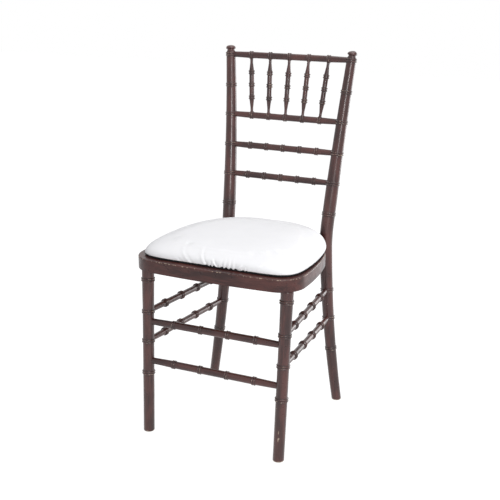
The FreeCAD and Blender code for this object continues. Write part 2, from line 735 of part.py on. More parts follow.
def dome(inset):
    """The crowned cushion, or its core where the cover's thickness is taken off all round."""
    floor = SEAT_TOP + CUSHION_LIFT
    rise = CUSHION_CROWN - inset + CUSHION_CENTRE_DROP
    squarest, roundest = CUSHION_FRONT_POWERS
    wires = [scaled_wire(cushion_outline(inset, squarest), CUSHION_TUCK, floor + inset)]
    lowest, highest = CUSHION_LAYER_ANGLES
    for step in range(CUSHION_LAYER_STEPS):
        layer = step / (CUSHION_LAYER_STEPS - 1)
        angle = math.radians(lowest + (highest - lowest) * layer)
        share = math.cos(angle) ** (2 / CUSHION_SIDE_POWER)
        height = rise * math.sin(angle) ** (2 / CUSHION_SIDE_POWER) - CUSHION_CENTRE_DROP
        outline = cushion_outline(inset, squarest + (roundest - squarest) * layer)
        wires.append(scaled_wire(outline, share, floor + height))
    return Part.makeLoft(wires, True, True)


def cushion_pieces():
    """Foam on a board, a cover drawn over both and the elastic binding that holds it underneath."""
    floor = SEAT_TOP + CUSHION_LIFT
    core = dome(COVER_THICKNESS)
    span = 2 * (SEAT_WIDEST + SEAT_DEPTH)
    board_top = floor + COVER_THICKNESS + CUSHION_BOARD
    board_zone = centred_box((span, span, 2 * board_top), Vector(0, 0, 0))
    hem_zone = centred_box((span, span, 2 * (floor + HEM_HEIGHT)), Vector(0, 0, 0))
    outline = cushion_outline(0, CUSHION_FRONT_POWERS[0])
    opening = Part.Face(scaled_wire(outline, HEM_SHARE, floor)).extrude(UP * COVER_THICKNESS)
    shell = dome(0).cut(core).cut(opening)
    return {
        "cushion_cover": shell.cut(hem_zone),
        "cushion_board": core.common(board_zone),
        "cushion_foam": core.cut(board_zone),
        "cushion_elastic": shell.common(hem_zone),
        "cushion_loop_strips": grip_strips(floor + COVER_THICKNESS - STRIP_THICKNESS),
    }


def grip_strips(z):
    """Two flat strips across the seat whose undersides are at z."""
    middle = SEAT_FRONT + SEAT_DEPTH / 2
    size = (STRIP_LENGTH, STRIP_WIDTH, STRIP_THICKNESS)
    strips = []
    for way in SIDES.values():
        centre = Vector(0, middle + way * STRIP_SPACING / 2, z + STRIP_THICKNESS / 2)
        strips.append(centred_box(size, centre))
    return Part.makeCompound(strips)


def back_members():
    """The rails between the rear posts, by name, and the spindles between the upper two."""
    rails = {
        "top_rail": back_rail(POST_RINGS_ABOVE[5]),
        "spindle_rail": back_rail(POST_RINGS_ABOVE[3]),
        "middle_rail": back_rail(POST_RINGS_ABOVE[2]),
        "lower_back_rail": back_rail(POST_RINGS_ABOVE[1]),
    }
    bars = [spindle(rails["spindle_rail"], rails["top_rail"], i) for i in range(RAIL_COLLARS)]
    return rails, bars


def stretcher_members():
    """The right side's and the front's stretchers, by level."""
    sides = {
        "lower": side_stretcher(LEG_RINGS[1], POST_RINGS_BELOW[1]),
        "upper": side_stretcher(LEG_RINGS[2], POST_RINGS_BELOW[2]),
    }
    fronts = {}
    for ring, (level, rise) in enumerate(FRONT_STRETCHER_ABOVE_RING.items()):
        fronts[level] = front_stretcher(LEG_RINGS[ring] + rise)
    return sides, fronts


def back_pieces(rails, bars):
    nodes = {}
    for name, rail in rails.items():
        places = [rail.length / 2 + offset for offset in collar_offsets(name)]
        body = rail.solid(places, COLLAR_WIDTH, RAIL_COLLAR_RISE)
        for bar in bars:
            if name == "spindle_rail":
                body = body.cut(bar.socket(0))
            if name == "top_rail":
                body = body.cut(bar.socket(1))
        nodes[name] = body
    for number, bar in enumerate(bars):
        places = [bar.length * share for share in SPINDLE_RING_SHARES]
        nodes[f"spindle_{number + 1}"] = bar.solid(places, SPINDLE_RING_WIDTH, SPINDLE_RING_RISE)
    return nodes


def stretcher(member):
    rise = STRETCHER_RING_DIA / 2 - member.middle
    return member.solid(even_places(member, STRETCHER_RINGS), COLLAR_WIDTH, rise)


def upright_pieces(rails, sides, fronts):
    """Posts and front legs with the sockets for what they hold, and the stretchers between them."""
    nodes = {}
    post = rear_post_blank()
    leg = front_leg_blank()
    for rail in rails.values():
        post = post.cut(rail.socket(1))
    for level, member in fronts.items():
        leg = leg.cut(member.socket(1))
        nodes[f"front_stretcher_{level}"] = stretcher(member)
    for level, member in sides.items():
        leg = leg.cut(member.socket(0))
        post = post.cut(member.socket(1))
        for name, side in SIDES.items():
            nodes[f"side_stretcher_{name}_{level}"] = half(stretcher(member), side)
    for name, side in SIDES.items():
        nodes[f"rear_post_{name}"] = half(post, side)
        nodes[f"front_leg_{name}"] = half(leg, side)
    return nodes


def seat_pieces():
    """The four rails, their corner blocks and fasteners, and the panel in its rebate."""
    nodes = seat_rails()
    front_block = corner_block(0)
    for hole in block_screw_holes():
        front_block = front_block.cut(hole)
    rear_block = corner_block(2).cut(post_bolt_hole())
    for name, side in SIDES.items():
        rail = f"seat_side_rail_{name}"
        nodes[rail] = nodes[rail].cut(half(post_bolt_hole(), side))
        nodes[f"corner_block_front_{name}"] = half(front_block, side)
        nodes[f"corner_block_rear_{name}"] = half(rear_block, side)
    pairs = {
        "corner_block_screws": block_screws(),
        "post_bolts": [post_bolt()],
        "post_bolt_washers": [bolt_washer()],
    }
    for name, pieces in pairs.items():
        nodes[name] = Part.makeCompound([half(piece, side) for piece in pieces for side in SIDES.values()])
    nodes["seat_panel"] = seat_panel()
    nodes["seat_panel_screws"] = Part.makeCompound(panel_screws(0))
    nodes["seat_hook_strips"] = grip_strips(LEDGE_HEIGHT + PANEL_THICKNESS)
    return nodes


def build():
    rails, bars = back_members()
    sides, fronts = stretcher_members()
    nodes = back_pieces(rails, bars)
    nodes.update(upright_pieces(rails, sides, fronts))
    nodes.update(seat_pieces())
    nodes.update(cushion_pieces())
    return nodes


os.makedirs("parts", exist_ok=True)
for node, shape in build().items():
    shape.exportStep(f"parts/{node}.step")
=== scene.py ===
"""A turned ballroom chair with bamboo rings and a lift-off white cushion, dressed on its packed frame.

Sizes are in metres, in the frame's own axes: the chair faces -Y, +Z is up and the floor is Z = 0.
"""

import math

import bpy
import numpy as np
from bpy.props import FloatProperty, FloatVectorProperty, IntProperty, PointerProperty
from bpy.types import NodeSocket, Operator, Panel, PropertyGroup
from mathutils import Matrix, Vector
from mathutils.kdtree import KDTree


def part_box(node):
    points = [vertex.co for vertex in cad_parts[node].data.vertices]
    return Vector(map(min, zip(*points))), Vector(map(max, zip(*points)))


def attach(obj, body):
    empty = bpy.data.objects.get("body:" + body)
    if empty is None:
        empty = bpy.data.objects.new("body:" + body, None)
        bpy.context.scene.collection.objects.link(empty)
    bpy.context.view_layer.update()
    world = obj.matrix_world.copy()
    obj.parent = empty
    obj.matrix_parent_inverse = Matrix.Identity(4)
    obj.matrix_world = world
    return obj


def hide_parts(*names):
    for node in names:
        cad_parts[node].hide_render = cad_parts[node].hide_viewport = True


bl_info = {
    "name": "Turned Ballroom Chair",
    "version": (1, 0, 0),
    "blender": (4, 5, 0),
    "location": "View3D > Sidebar > Chair",
    "description": "Dresses the packed chair: turned and stained beech, seat frame, cushion and studio",
    "category": "Object",
}

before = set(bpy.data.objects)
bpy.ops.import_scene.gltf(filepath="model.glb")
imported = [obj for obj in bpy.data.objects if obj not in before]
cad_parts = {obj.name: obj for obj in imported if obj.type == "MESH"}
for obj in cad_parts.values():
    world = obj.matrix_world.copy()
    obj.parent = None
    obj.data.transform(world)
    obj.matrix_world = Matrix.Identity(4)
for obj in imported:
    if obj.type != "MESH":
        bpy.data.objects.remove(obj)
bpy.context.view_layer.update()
SEAT_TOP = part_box("seat_front_rail")[1].z
SEAT_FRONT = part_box("seat_front_rail")[0].y
SEAT_HALF_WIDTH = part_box("seat_side_rail_right")[1].x
SEAT_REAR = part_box("seat_rear_rail")[1].y
FINIAL_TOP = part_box("rear_post_right")[1].z
SIDES = ("left", "right")

# The posts' rings that carry the back rails, and the steps and gaps of turned feet and finials.
BACK_RINGS = (4, 5, 6, 8)
FOOT_ROUNDING = 0.0025
LEG_TENON = 0.002
LEVEL_END = 0.01
NECK_LENGTH = 0.0035
CAP_GAP = 0.0008
CAP_FLARE = 0.0026
CAP_EDGE = 0.0012
QUARTER_TURN = math.pi / 2

# The cushion's cover and its ribbed band.
CLOTH_THICKNESS = 0.0008
BAND_THICKNESS = 0.0006
RIB_PITCH = 0.008
RIB_DEPTH = 0.0004
CLOTH_MESH = 0.005
SIMULATED_FRAMES = 20

# Where the hem is gathered most, how far to each side, and how far apart its puckers are.
GATHER_MIDDLE = 0.036
GATHER_REACH = 0.055
PUCKER_PITCH = 0.0135

# How far the gathers draw the hem in, how far their puckers move it in and out, and how far they lower it.
GATHER_DRAW = 0.006
GATHER_PLAY = 0.0055
GATHER_DROP = 0.0016

# Rows of the cover's rolled edge: share of the plan and height above the hem.
ROLLED_EDGE = ((0.930, 0.0030), (0.955, 0.0010), (0.975, 0.0), (0.988, 0.0003))

# Rows of the black band: share of the plan and height above the seat.
BAND_ROWS = (
    (0.80, 0.0003), (0.970, 0.0003), (0.982, 0.0008), (0.985, 0.0030), (0.982, 0.0055), (0.965, 0.0065),
)

# Rows of the cushion's board. The foam starts on it and follows the cover's profile, a little inside it.
BOARD_ROWS = ((0.945, 0.0014), (0.952, 0.0020), (0.952, 0.0066), (0.945, 0.0072))
FOAM_FOOT = (0.945, 0.0074)
FOAM_FROM = 0.013
FOAM_SHARE = 0.965
FOAM_DROP = 0.004

# Soft folds: place of the foot, sideways lean, height, width and depth.
FOLDS = (
    (-0.050, -0.062, 0.049, 0.0025, 0.0022),
    (-0.013, -0.036, 0.046, 0.0023, 0.0021),
    (0.098, 0.034, 0.030, 0.0034, 0.0018),
    (0.014, -0.020, 0.024, 0.0026, 0.0016),
    (0.062, 0.022, 0.022, 0.0026, 0.0013),
    (-0.078, -0.030, 0.020, 0.0026, 0.0012),
)

# Knocks on the right-hand pieces: place, angle, size along and across, depth and how much wood is bare.
POST_DENTS = (
    (FINIAL_TOP - 0.004, 0.35, 0.0028, 0.38, 0.0042, 0.35),
    (FINIAL_TOP - 0.010, 0.15, 0.0016, 0.30, 0.0018, 0.35),
)
LEG_DENTS = (
    (0.058, -1.35, 0.0050, 0.20, 0.0008, 1.2),
    (0.047, -1.45, 0.0022, 0.15, 0.0004, 1.0),
    (0.076, -1.40, 0.0090, 0.13, 0.0002, 0.75),
)

# Lamps: place, width and height, the point they are aimed at, and watts.
LAMPS = {
    "Key_Right": ((2.3, -1.5, 2.4), (1.8, 1.8), (0.0, 0.0, 0.45), 25),
    "Overhead_Bank": ((0.3, 0.1, 2.7), (2.0, 1.4), (0.0, 0.0, 0.45), 22),
    "Camera_Softbox": ((1.40, -2.25, 1.22), (0.50, 0.55), (0.0, 0.15, 0.78), 18),
    "Rear_Right_Bank": ((1.35, 2.25, 0.62), (1.2, 1.2), (0.1, 0.0, 0.40), 20),
}


def number(label, about, value, **more):
    return FloatProperty(name=label, description=about, default=value, **more)


def numbers(label, about, values, **more):
    return FloatVectorProperty(name=label, description=about, default=values, size=len(values), **more)


def length(label, about, size):
    return number(label, about, size, unit="LENGTH", precision=5)


def lengths(label, about, sizes):
    return numbers(label, about, sizes, unit="LENGTH", precision=5)


def colour(label, about, value):
    return numbers(label, about, value, subtype="COLOR", min=0, max=1)


def angle(label, about, degrees):
    return number(label, about, math.radians(degrees), subtype="ANGLE")


def whole(label, about, value):
    return IntProperty(name=label, description=about, default=value, min=1)


class PostSizes(PropertyGroup):
    """The steam-bent rear posts, measured on their axes."""

    foot_spread: length("Foot spread", "Distance between the two axes at the floor", 0.3702)
    seat_spread: length("Seat spread", "Distance between the two axes at the seat", 0.2806)
    top_spread: length("Top spread", "Distance between the two axes at the finials", 0.3398)
    rear_edge: length("Rear edge", "How far the seat's rear edge is behind the axes", 0.0059)
    foot_forward: length("Foot forward", "How far the foot is in front of the bend", 0.005)
    rake: length("Rake", "How far the finial is behind the bend", 0.0765)
    leg_bow: lengths("Leg bow", "Sideways and rearward bulge below the bend", (-0.0063, -0.0036))
    back_bow: lengths("Back bow", "Sideways and rearward bulge above the bend", (-0.0033, 0.0031))
    bend_below_seat: length("Bend below seat top", "Middle of the steam bend", 0.0015)
    bend_length: length("Bend length", "Height over which the post is bent", 0.056)
    foot_diameter: length("Foot diameter", "Thickness at the floor", 0.025)
    seat_diameter: length("Seat diameter", "Thickness at the seat", 0.0334)
    top_diameter: length("Top diameter", "Thickness at the top ring", 0.0242)
    thickest_above_seat: length("Thickest above seat", "Where the upper taper begins", 0.0885)
    rings_from_floor: lengths("Lower ring gaps", "From the floor, ring to ring", (0.1453, 0.0843, 0.0763))
    rings_from_seat: lengths(
        "Upper ring gaps", "From the seat, ring to ring", (0.0538, 0.0778, 0.0758, 0.0781, 0.0746, 0.0786)
    )
    cap_diameter: length("Finial diameter", "Widest part of the finial's cap", 0.0252)
    neck_diameter: length("Neck diameter", "Neck between the top ring and the cap", 0.0185)
    cap_height: length("Cap height", "Height of the finial above its neck", 0.0130)
    cap_sink: length("Cap sink", "How far the worn cap's top is below its full height", 0.0018)


class LegSizes(PropertyGroup):
    """The straight front legs."""

    side_set_in: length("Side set-in", "Axis inside the seat's widest line", 0.0326)
    setback: length("Setback", "Axis behind the seat's front", 0.0401)
    foot_inward: length("Foot inward", "How far the foot leans inwards", 0.0056)
    foot_forward: length("Foot forward", "How far the foot leans forwards", 0.0255)
    top_diameter: length("Top diameter", "Thickness under the seat", 0.0303)
    knee_diameter: length("Knee diameter", "Thickness at the knee", 0.0283)
    foot_diameter: length("Foot diameter", "Thickness at the floor", 0.0272)
    knee_height: length("Knee height", "Where the taper changes", 0.32)
    rings_from_floor: lengths("Ring gaps", "From the floor, ring to ring", (0.155, 0.0818, 0.0747, 0.0805))


class RingSizes(PropertyGroup):
    """The double beads that make the turned pieces look like bamboo."""

    width: length("Ring width", "Width of a ring on posts and legs", 0.009)
    post_rise: length("Post rise", "Height of a ring on a rear post", 0.0020)
    leg_rise: length("Leg rise", "Height of a ring on a front leg", 0.0024)
    collar_width: length("Collar width", "Width of a ring on rails and stretchers", 0.009)
    groove: length("Groove depth", "Depth of the groove between two beads", 0.0014)


class MemberSizes(PropertyGroup):
    """Rails, spindles and stretchers between the uprights."""

    rail_diameter: length("Rail diameter", "Back rails between their collars", 0.0164)
    rail_end: length("Rail end", "Back rails where they enter the posts", 0.0144)
    rail_rise: length("Rail collar rise", "Height of a collar on a back rail", 0.0021)
    rail_collars: whole("Rail collars", "Collars on each back rail", 5)
    collar_pitches: lengths(
        "Collar pitches", "Between collars, from the lowest back rail up", (0.0470, 0.0469, 0.0477, 0.0538)
    )
    spindle_diameter: length("Spindle diameter", "Spindles between their rings", 0.0126)
    spindle_end: length("Spindle end", "Spindles where they enter the rails", 0.0074)
    spindle_rise: length("Spindle ring rise", "Height of a ring on a spindle", 0.0021)
    spindle_ring_width: length("Spindle ring width", "Width of a ring on a spindle", 0.010)
    spindle_rings: numbers("Spindle rings", "Places as shares of the length", (0.298, 0.508, 0.715))
    front_diameter: length("Front stretcher diameter", "Front stretchers between their rings", 0.0178)
    front_end: length("Front stretcher end", "Front stretchers where they enter the legs", 0.0156)
    side_diameter: length("Side stretcher diameter", "Side stretchers between their rings", 0.0154)
    side_end: length("Side stretcher end", "Side stretchers where they enter legs and posts", 0.0136)
    stretcher_ring: length("Stretcher ring diameter", "Outside of every stretcher's rings", 0.0217)
    stretcher_rings: whole("Stretcher rings", "Rings on a stretcher", 4)
    front_above_rings: lengths(
        "Front stretchers", "How far the two front ones are above the lowest two rings", (0.0313, 0.0501)
    )
    bare_end: length("Bare end", "Plain stretch outside each socket", 0.003)
    socket: length("Socket", "How far an end enters its host", 0.013)


class CushionSizes(PropertyGroup):
    """The domed cushion with its gathered cover."""

    front_set_in: length("Front set-in", "Cushion behind the seat's front", 0.0185)
    rear_set_in: length("Rear set-in", "Cushion in front of the seat's rear", 0.0016)
    side_set_in: length("Side set-in", "Cushion inside the seat's widest line", 0.0065)
    widest_at: number("Widest at", "Share of the half depth, front is -1", -0.45)
    taper: number("Rear taper", "How quickly the plan narrows behind its widest line", 0.14, min=0)
    front_powers: numbers("Front squareness", "Power of the plan's front at hem and crown", (7.0, 3.2))
    rear_power: number("Rear squareness", "Superellipse power of the plan's rear", 3.23, min=0)
    side_power: number("Side squareness", "Superellipse power of the profile", 4.3, min=0)
    crown: length("Crown", "Height of the dome above the seat", 0.0395)
    centre_drop: length("Centre drop", "How far the dome's middle is below the seat", 0.015)
    hem_height: length("Hem height", "Height of the white cover's lower edge", 0.0042)
    swell: length("Swell", "How far the dome starts inside its final shape before it is blown up", 0.0012)
    swell_limit: length("Swell limit", "Furthest that a point of the cover may move", 0.0022)
    pressure: number("Pressure", "Air pressure in the simulated cover", 4.0, min=0)


class WoodFinish(PropertyGroup):
    """Mahogany stain and lacquer."""

    dark: colour("Dark stain", "Deepest brown", (0.029, 0.0095, 0.0090))
    red: colour("Red stain", "Redder brown where the stain is thinner", (0.092, 0.030, 0.0255))
    # Also the colour of the painted highlight along the sawn rails' upper edges.
    bare: colour("Worn wood", "Beech laid bare at the edges", (0.40, 0.31, 0.23))
    plywood: colour("Plywood", "Raw birch face", (0.62, 0.47, 0.31))
    block: colour("Corner block", "Raw beech", (0.58, 0.40, 0.26))


class SoftFinish(PropertyGroup):
    """Cloth, foam and tapes."""

    cloth: colour("Cover", "White stretch cloth", (0.86, 0.865, 0.87))
    binding: colour("Binding", "Black band under the cover's edge", (0.012, 0.012, 0.014))
    foam: colour("Foam", "Cut foam", (0.87, 0.82, 0.66))
    tape: colour("Grip tape", "Woven hook and loop tape", (0.05, 0.05, 0.05))
    zinc: colour("Zinc", "Plated screws and bolts", (0.62, 0.62, 0.60))


class StageSettings(PropertyGroup):
    """Camera and light, fitted to the photograph's view."""

    camera_place: lengths("Camera place", "Where the camera stands", (0.9855, -2.1050, 1.1558))
    azimuth: angle("Azimuth", "Camera's way round", 25.20)
    elevation: angle("Elevation", "Camera's way up", 17.255)
    roll: angle("Roll", "Camera's roll", 0.218)
    lens: number("Lens", "Focal length in millimetres", 69.9, min=1)
    floor_size: length("Floor size", "Side of the floor", 14.0)
    brightest: numbers("Brightest side", "Where the surround is brightest", (0.55, -0.12, 0.82))
    horizon: number("Dim side", "Strength of the surround a quarter turn from the brightest", 0.10, min=0)
    zenith: number("Bright side", "Strength of the surround at its brightest side", 0.74, min=0)


def running(base, gaps):
    """Places reached by adding the gaps one after another."""
    return [base + total for total in np.cumsum(list(gaps))]


def bowed(start, end, bow, part):
    """A point on a shallow curve from start to end that bulges by bow at its middle."""
    return start + (end - start) * part + Vector((bow[0], bow[1], 0)) * (4 * part * (1 - part))


class PostLine:
    """The right rear post's bent axis and thickness at each height."""

    def __init__(self):
        self.sizes = sizes = bpy.context.scene.chair_posts
        self.y = SEAT_REAR - sizes.rear_edge
        self.bend = SEAT_TOP - sizes.bend_below_seat
        self.rings = running(0, sizes.rings_from_floor) + running(SEAT_TOP, sizes.rings_from_seat)

    def raw(self, z):
        s = self.sizes
        seat = Vector((s.seat_spread / 2, self.y, self.bend))
        if z < self.bend:
            foot = Vector((s.foot_spread / 2, self.y - s.foot_forward, 0))
            return bowed(foot, seat, s.leg_bow, z / self.bend)
        top = Vector((s.top_spread / 2, self.y + s.rake, FINIAL_TOP))
        return bowed(seat, top, s.back_bow, (z - self.bend) / (FINIAL_TOP - self.bend))

    def __call__(self, z):
        low = self.bend - self.sizes.bend_length / 2
        high = self.bend + self.sizes.bend_length / 2
        if not low < z < high:
            return self.raw(z)
        t = (z - low) / (high - low)
        probe = 0.001
        enter = (self.raw(low) - self.raw(low - probe)) / probe
        leave = (self.raw(high + probe) - self.raw(high)) / probe
        point = self.raw(low) * (2 * t**3 - 3 * t**2 + 1) + self.raw(high) * (3 * t**2 - 2 * t**3)
        pull = enter * (t**3 - 2 * t**2 + t) + leave * (t**3 - t**2)
        return point + pull * (high - low)

    def radius(self, z):
        s = self.sizes
        below = s.foot_diameter + (s.seat_diameter - s.foot_diameter) * np.clip(z, 0, self.bend) / self.bend
        thickest = SEAT_TOP + s.thickest_above_seat
        taper = np.clip((z - thickest) / (self.rings[-1] - thickest), 0, None)
        above = s.seat_diameter + (s.top_diameter - s.seat_diameter) * taper
        return np.where(z < self.bend, below, above) / 2


class LegLine:
    """The right front leg's straight axis and thickness at each height."""

    def __init__(self):
        self.sizes = bpy.context.scene.chair_legs
        self.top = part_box("seat_front_rail")[0].z
        self.rings = running(0, self.sizes.rings_from_floor)

    def __call__(self, z):
        s = self.sizes
        top = Vector((SEAT_HALF_WIDTH - s.side_set_in, SEAT_FRONT + s.setback, self.top))
        foot = Vector((top.x - s.foot_inward, top.y - s.foot_forward, 0))
        return foot + (top - foot) * (z / self.top)

    def radius(self, z):
        s = self.sizes
        heights = (0, s.knee_height, self.top)
        return np.interp(z, heights, (s.foot_diameter, s.knee_diameter, s.top_diameter)) / 2


def bead_profile(places, centres, width, rise, groove):
    """Rise of the double beads at each place, how near each place is to a crest, and the painted shade near
    each hollow.

    Across a ring, x is 0 in the groove between its beads and 1 at its edge.
    """
    lift = np.zeros_like(places)
    crest = np.zeros_like(places)
    hollow = np.zeros_like(places)
    for centre in centres:
        x = np.abs(places - centre) / (width / 2)
        wave = np.sin(np.pi * np.clip((x - 0.2) / 0.8, 0, 1))
        lift += np.where(x < 1, np.maximum((rise - groove) * (x < 0.6), rise * wave**0.4), 0)
        crest += wave**4
        # Painted shade: the groove between the beads and a line just outside each ring are marked to be
        # darkened as if in shadow.
        hollow += np.exp(-((x / 0.24) ** 2)) + np.exp(-(((x - 1.06) / 0.15) ** 2))
    return lift, crest, np.clip(hollow, 0, 1)


def station_places(start, end, centres, width, spacing):
    """Places along a piece, close together at its start and in its beads."""
    coarse = np.concatenate([start + 0.0012 * np.arange(6), np.arange(start, end, spacing)])
    beads = [centre + width / 2 * np.linspace(-1.2, 1.2, 25) for centre in centres]
    places = np.unique(np.concatenate([coarse, [start, end], *beads]).round(5))
    return places[(places >= start) & (places <= end)]


class Turning:
    """A turned piece's surface: rings of points along an axis, with marks of making and wear, and painted
    shade in its hollows.
    """

    def __init__(self, axis, places, radii, crest, hollow, sides, seed):
        self.axis = axis
        self.places = places
        self.random = np.random.default_rng(seed)
        self.angles = np.linspace(0, 2 * math.pi, sides, endpoint=False)
        around = np.ones(sides)
        self.radii, self.crest, self.hollow = (row[:, None] * around for row in (radii, crest, hollow))
        self.bare = np.zeros_like(self.radii)
        self.seed = seed

    def uneven(self, amount):
        """Slight, slow waves left by turning and sanding."""
        wave = np.zeros_like(self.radii)
        for turns in (0, 1, 2, 3):
            for _ in range(2):
                pitch = self.random.uniform(20, 90)
                phase = self.random.uniform(0, 2 * math.pi, 2)
                along = np.sin(self.places * pitch + phase[0])[:, None]
                wave += along * np.cos(turns * self.angles + phase[1])[None, :]
        self.radii = self.radii + wave * amount / 4

    def dent(self, place, angle, along, across, depth, bare):
        """A rounded nick in the surface that lays some wood bare."""
        turn = (self.angles - angle + math.pi) % (2 * math.pi) - math.pi
        near = np.exp(-(((self.places - place) / along) ** 2))[:, None]
        mark = near * np.exp(-((turn / across) ** 2))[None, :]
        self.radii = self.radii - depth * mark
        self.bare = np.clip(self.bare + bare * mark, 0, 1)

    def nicks(self, centres, width, count):
        """Small knocks, two in three of them on the beads' crests."""
        draw = self.random.uniform
        for number in range(count):
            if number % 3:
                place = self.random.choice(centres) + self.random.choice((-1, 1)) * width / 4
            else:
                place = draw(self.places[0], self.places[-1])
            turn, along, depth = draw(0, 2 * math.pi), draw(0.0006, 0.0018), draw(0.0001, 0.0005)
            self.dent(place, turn, along, draw(0.06, 0.22), depth, draw(0.3, 0.9))

    def build(self, name, level_ends=False):
        """The mesh, with each point's place in the grain, its marks and its painted shade. Level ends are
        cut square to Z.
        """
        rings = []
        probe = 0.0005
        for number, place in enumerate(self.places):
            way = (self.axis(place + probe) - self.axis(place - probe)).normalized()
            if level_ends:
                ease = min(1, min(place - self.places[0], self.places[-1] - place) / LEVEL_END)
                way = Vector((0, 0, 1)).lerp(way, max(0, ease)).normalized()
            guide = Vector((0, 1, 0)) if abs(way.y) < 0.9 else Vector((0, 0, 1))
            side = guide.cross(way).normalized()
            spokes = np.outer(np.cos(self.angles), side) + np.outer(np.sin(self.angles), way.cross(side))
            rings.append(np.array(self.axis(place)) + spokes * self.radii[number][:, None])
        obj = skin(name, np.array(rings))
        flat = (self.radii * np.cos(self.angles), self.radii * np.sin(self.angles))
        grain = np.stack([*flat, self.places[:, None] + 0 * self.radii], axis=-1)
        add_vectors(obj, "grain_place", grain + self.seed * np.array((0.37, 0.19, 0.73)))
        # The marks: crests, painted shade in the hollows, and bare wood.
        add_vectors(obj, "turned_marks_and_shade", np.stack([self.crest, self.hollow, self.bare], axis=-1))
        return obj


def ring_faces(rings):
    """Quads that join rings of points."""
    count, sides, _ = rings.shape
    index = np.arange(count * sides).reshape(count, sides)
    after = np.roll(index, -1, axis=1)
    return np.stack([index[:-1], after[:-1], after[1:], index[1:]], axis=-1).reshape(-1, 4).tolist()


def skin(name, rings):
    """A closed mesh over rings of points, with a flat cap at each end."""
    points = rings.reshape(-1, 3)
    first = list(range(rings.shape[1]))
    last = [len(points) - len(first) + number for number in first]
    return mesh_object(name, points, ring_faces(rings) + [first[::-1], last])


def mesh_object(name, points, faces):
    mesh = bpy.data.meshes.new(name)
    mesh.from_pydata(np.asarray(points).tolist(), [], faces)
    mesh.polygons.foreach_set("use_smooth", [len(face) == 4 for face in faces])
    mesh.update()
    obj = bpy.data.objects.new(name, mesh)
    bpy.context.scene.collection.objects.link(obj)
    return obj


def add_vectors(obj, name, values):
    attribute = obj.data.attributes.new(name, "FLOAT_VECTOR", "POINT")
    attribute.data.foreach_set("vector", np.asarray(values, np.float32).ravel())


def mirror_right_to_left(obj):
    """Turns a right-hand piece into the left-hand one."""
    obj.data.transform(Matrix.Scale(-1, 4, Vector((1, 0, 0))))
    obj.data.flip_normals()
    obj.data.update()


def add_thickness(obj, thickness):
    """Thickens a sheet inwards."""
    solid = obj.modifiers.new("Thickness", "SOLIDIFY")
    solid.thickness = thickness
    solid.offset = -1


def place_piece(obj, node, body, material):
    """Puts a new piece in place of a CAD node."""
    obj.data.materials.append(material)
    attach(obj, body)
    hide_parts(node)


def place_turned(obj, node):
    """Puts a turned piece in place of a CAD node, in the finish that all of them share."""
    name = "Stained_Beech_Turned"
    material = bpy.data.materials.get(name) or stained_beech(name)
    place_piece(obj, node, "chair_frame", material)


def dress(material, *nodes):
    """Gives CAD nodes that keep their own shape a better material."""
    for node in nodes:
        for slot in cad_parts[node].material_slots:
            slot.material = material


def shade(tint, factor):
    return [value * factor for value in tint]


class Shader:
    """A material's or a world's nodes, joined up in the order in which they are asked for."""

    def __init__(self, name, kind="materials"):
        self.owner = getattr(bpy.data, kind).new(name)
        self.owner.use_nodes = True
        self.tree = self.owner.node_tree

    def node(self, kind, sockets=(), **settings):
        node = self.tree.nodes.new(f"ShaderNode{kind}")
        for name, value in settings.items():
            setattr(node, name, value)
        for name, value in dict(sockets).items():
            self.put(node.inputs[name], value)
        return node

    def put(self, socket, value):
        if isinstance(value, NodeSocket):
            self.tree.links.new(value, socket)
        else:
            socket.default_value = value

    def place(self):
        return self.node("TexCoord").outputs["Object"]

    def attribute(self, name):
        return self.node("Attribute", attribute_name=name).outputs["Vector"]

    def parts(self, vector):
        return self.node("SeparateXYZ", {"Vector": vector}).outputs

    def rotated(self, vector, turn):
        return self.node("Mapping", {"Vector": vector, "Rotation": turn}).outputs["Vector"]

    def noise(self, vector, scale, detail=3, roughness=0.55, along=1):
        """Noise with Z drawn out where along is below 1."""
        if along != 1:
            vector = self.node("Mapping", {"Vector": vector, "Scale": (1, 1, along)}).outputs["Vector"]
        sockets = {"Vector": vector, "Scale": scale, "Detail": detail, "Roughness": roughness}
        return self.node("TexNoise", sockets).outputs["Fac"]

    def threads(self, vector, *scales):
        """Crossing threads, 1 on a crossing and 0 between threads."""
        waves = [
            self.node("TexWave", {"Vector": vector, "Scale": scale}, bands_direction=way).outputs["Fac"]
            for way, scale in zip("XY", scales)
        ]
        return self.times(*waves)

    def fade(self, value, low, high, start=0.0, end=1.0):
        """Value turned into start below low and end above high, smoothly between."""
        sockets = {"Value": value, "From Min": low, "From Max": high, "To Min": start, "To Max": end}
        return self.node("MapRange", sockets, interpolation_type="SMOOTHSTEP").outputs["Result"]

    def combine(self, kind, first, second):
        return self.node("Math", {0: first, 1: second}, operation=kind).outputs["Value"]

    def times(self, first, second):
        return self.combine("MULTIPLY", first, second)

    def mix(self, factor, *colours):
        """A mix of two colours. The node's inputs 6 and 7 and its output 2 are the ones for colour."""
        first, second = (value if isinstance(value, NodeSocket) else (*value, 1) for value in colours)
        return self.node("Mix", {0: factor, 6: first, 7: second}, data_type="RGBA").outputs[2]

    def bump(self, height, distance, strength, **normal):
        sockets = {"Height": height, "Distance": distance, "Strength": strength, **normal}
        return self.node("Bump", sockets).outputs["Normal"]

    def finish(self, **sockets):
        surface = self.tree.nodes["Principled BSDF"]
        for name, value in sockets.items():
            self.put(surface.inputs[name.replace("_", " ")], value)
        return self.owner

    def show(self, output, lighting, seen):
        """Lights other things with one shader and shows the other one to the eye, mirrors and glass."""
        rays = self.node("LightPath").outputs
        looking = rays["Is Camera Ray"]
        for other in ("Is Glossy Ray", "Is Transmission Ray"):
            looking = self.combine("MAXIMUM", looking, rays[other])
        choice = self.node("MixShader", {0: looking, 1: lighting.outputs[0], 2: seen.outputs[0]})
        self.put(self.tree.nodes[output].inputs["Surface"], choice.outputs[0])


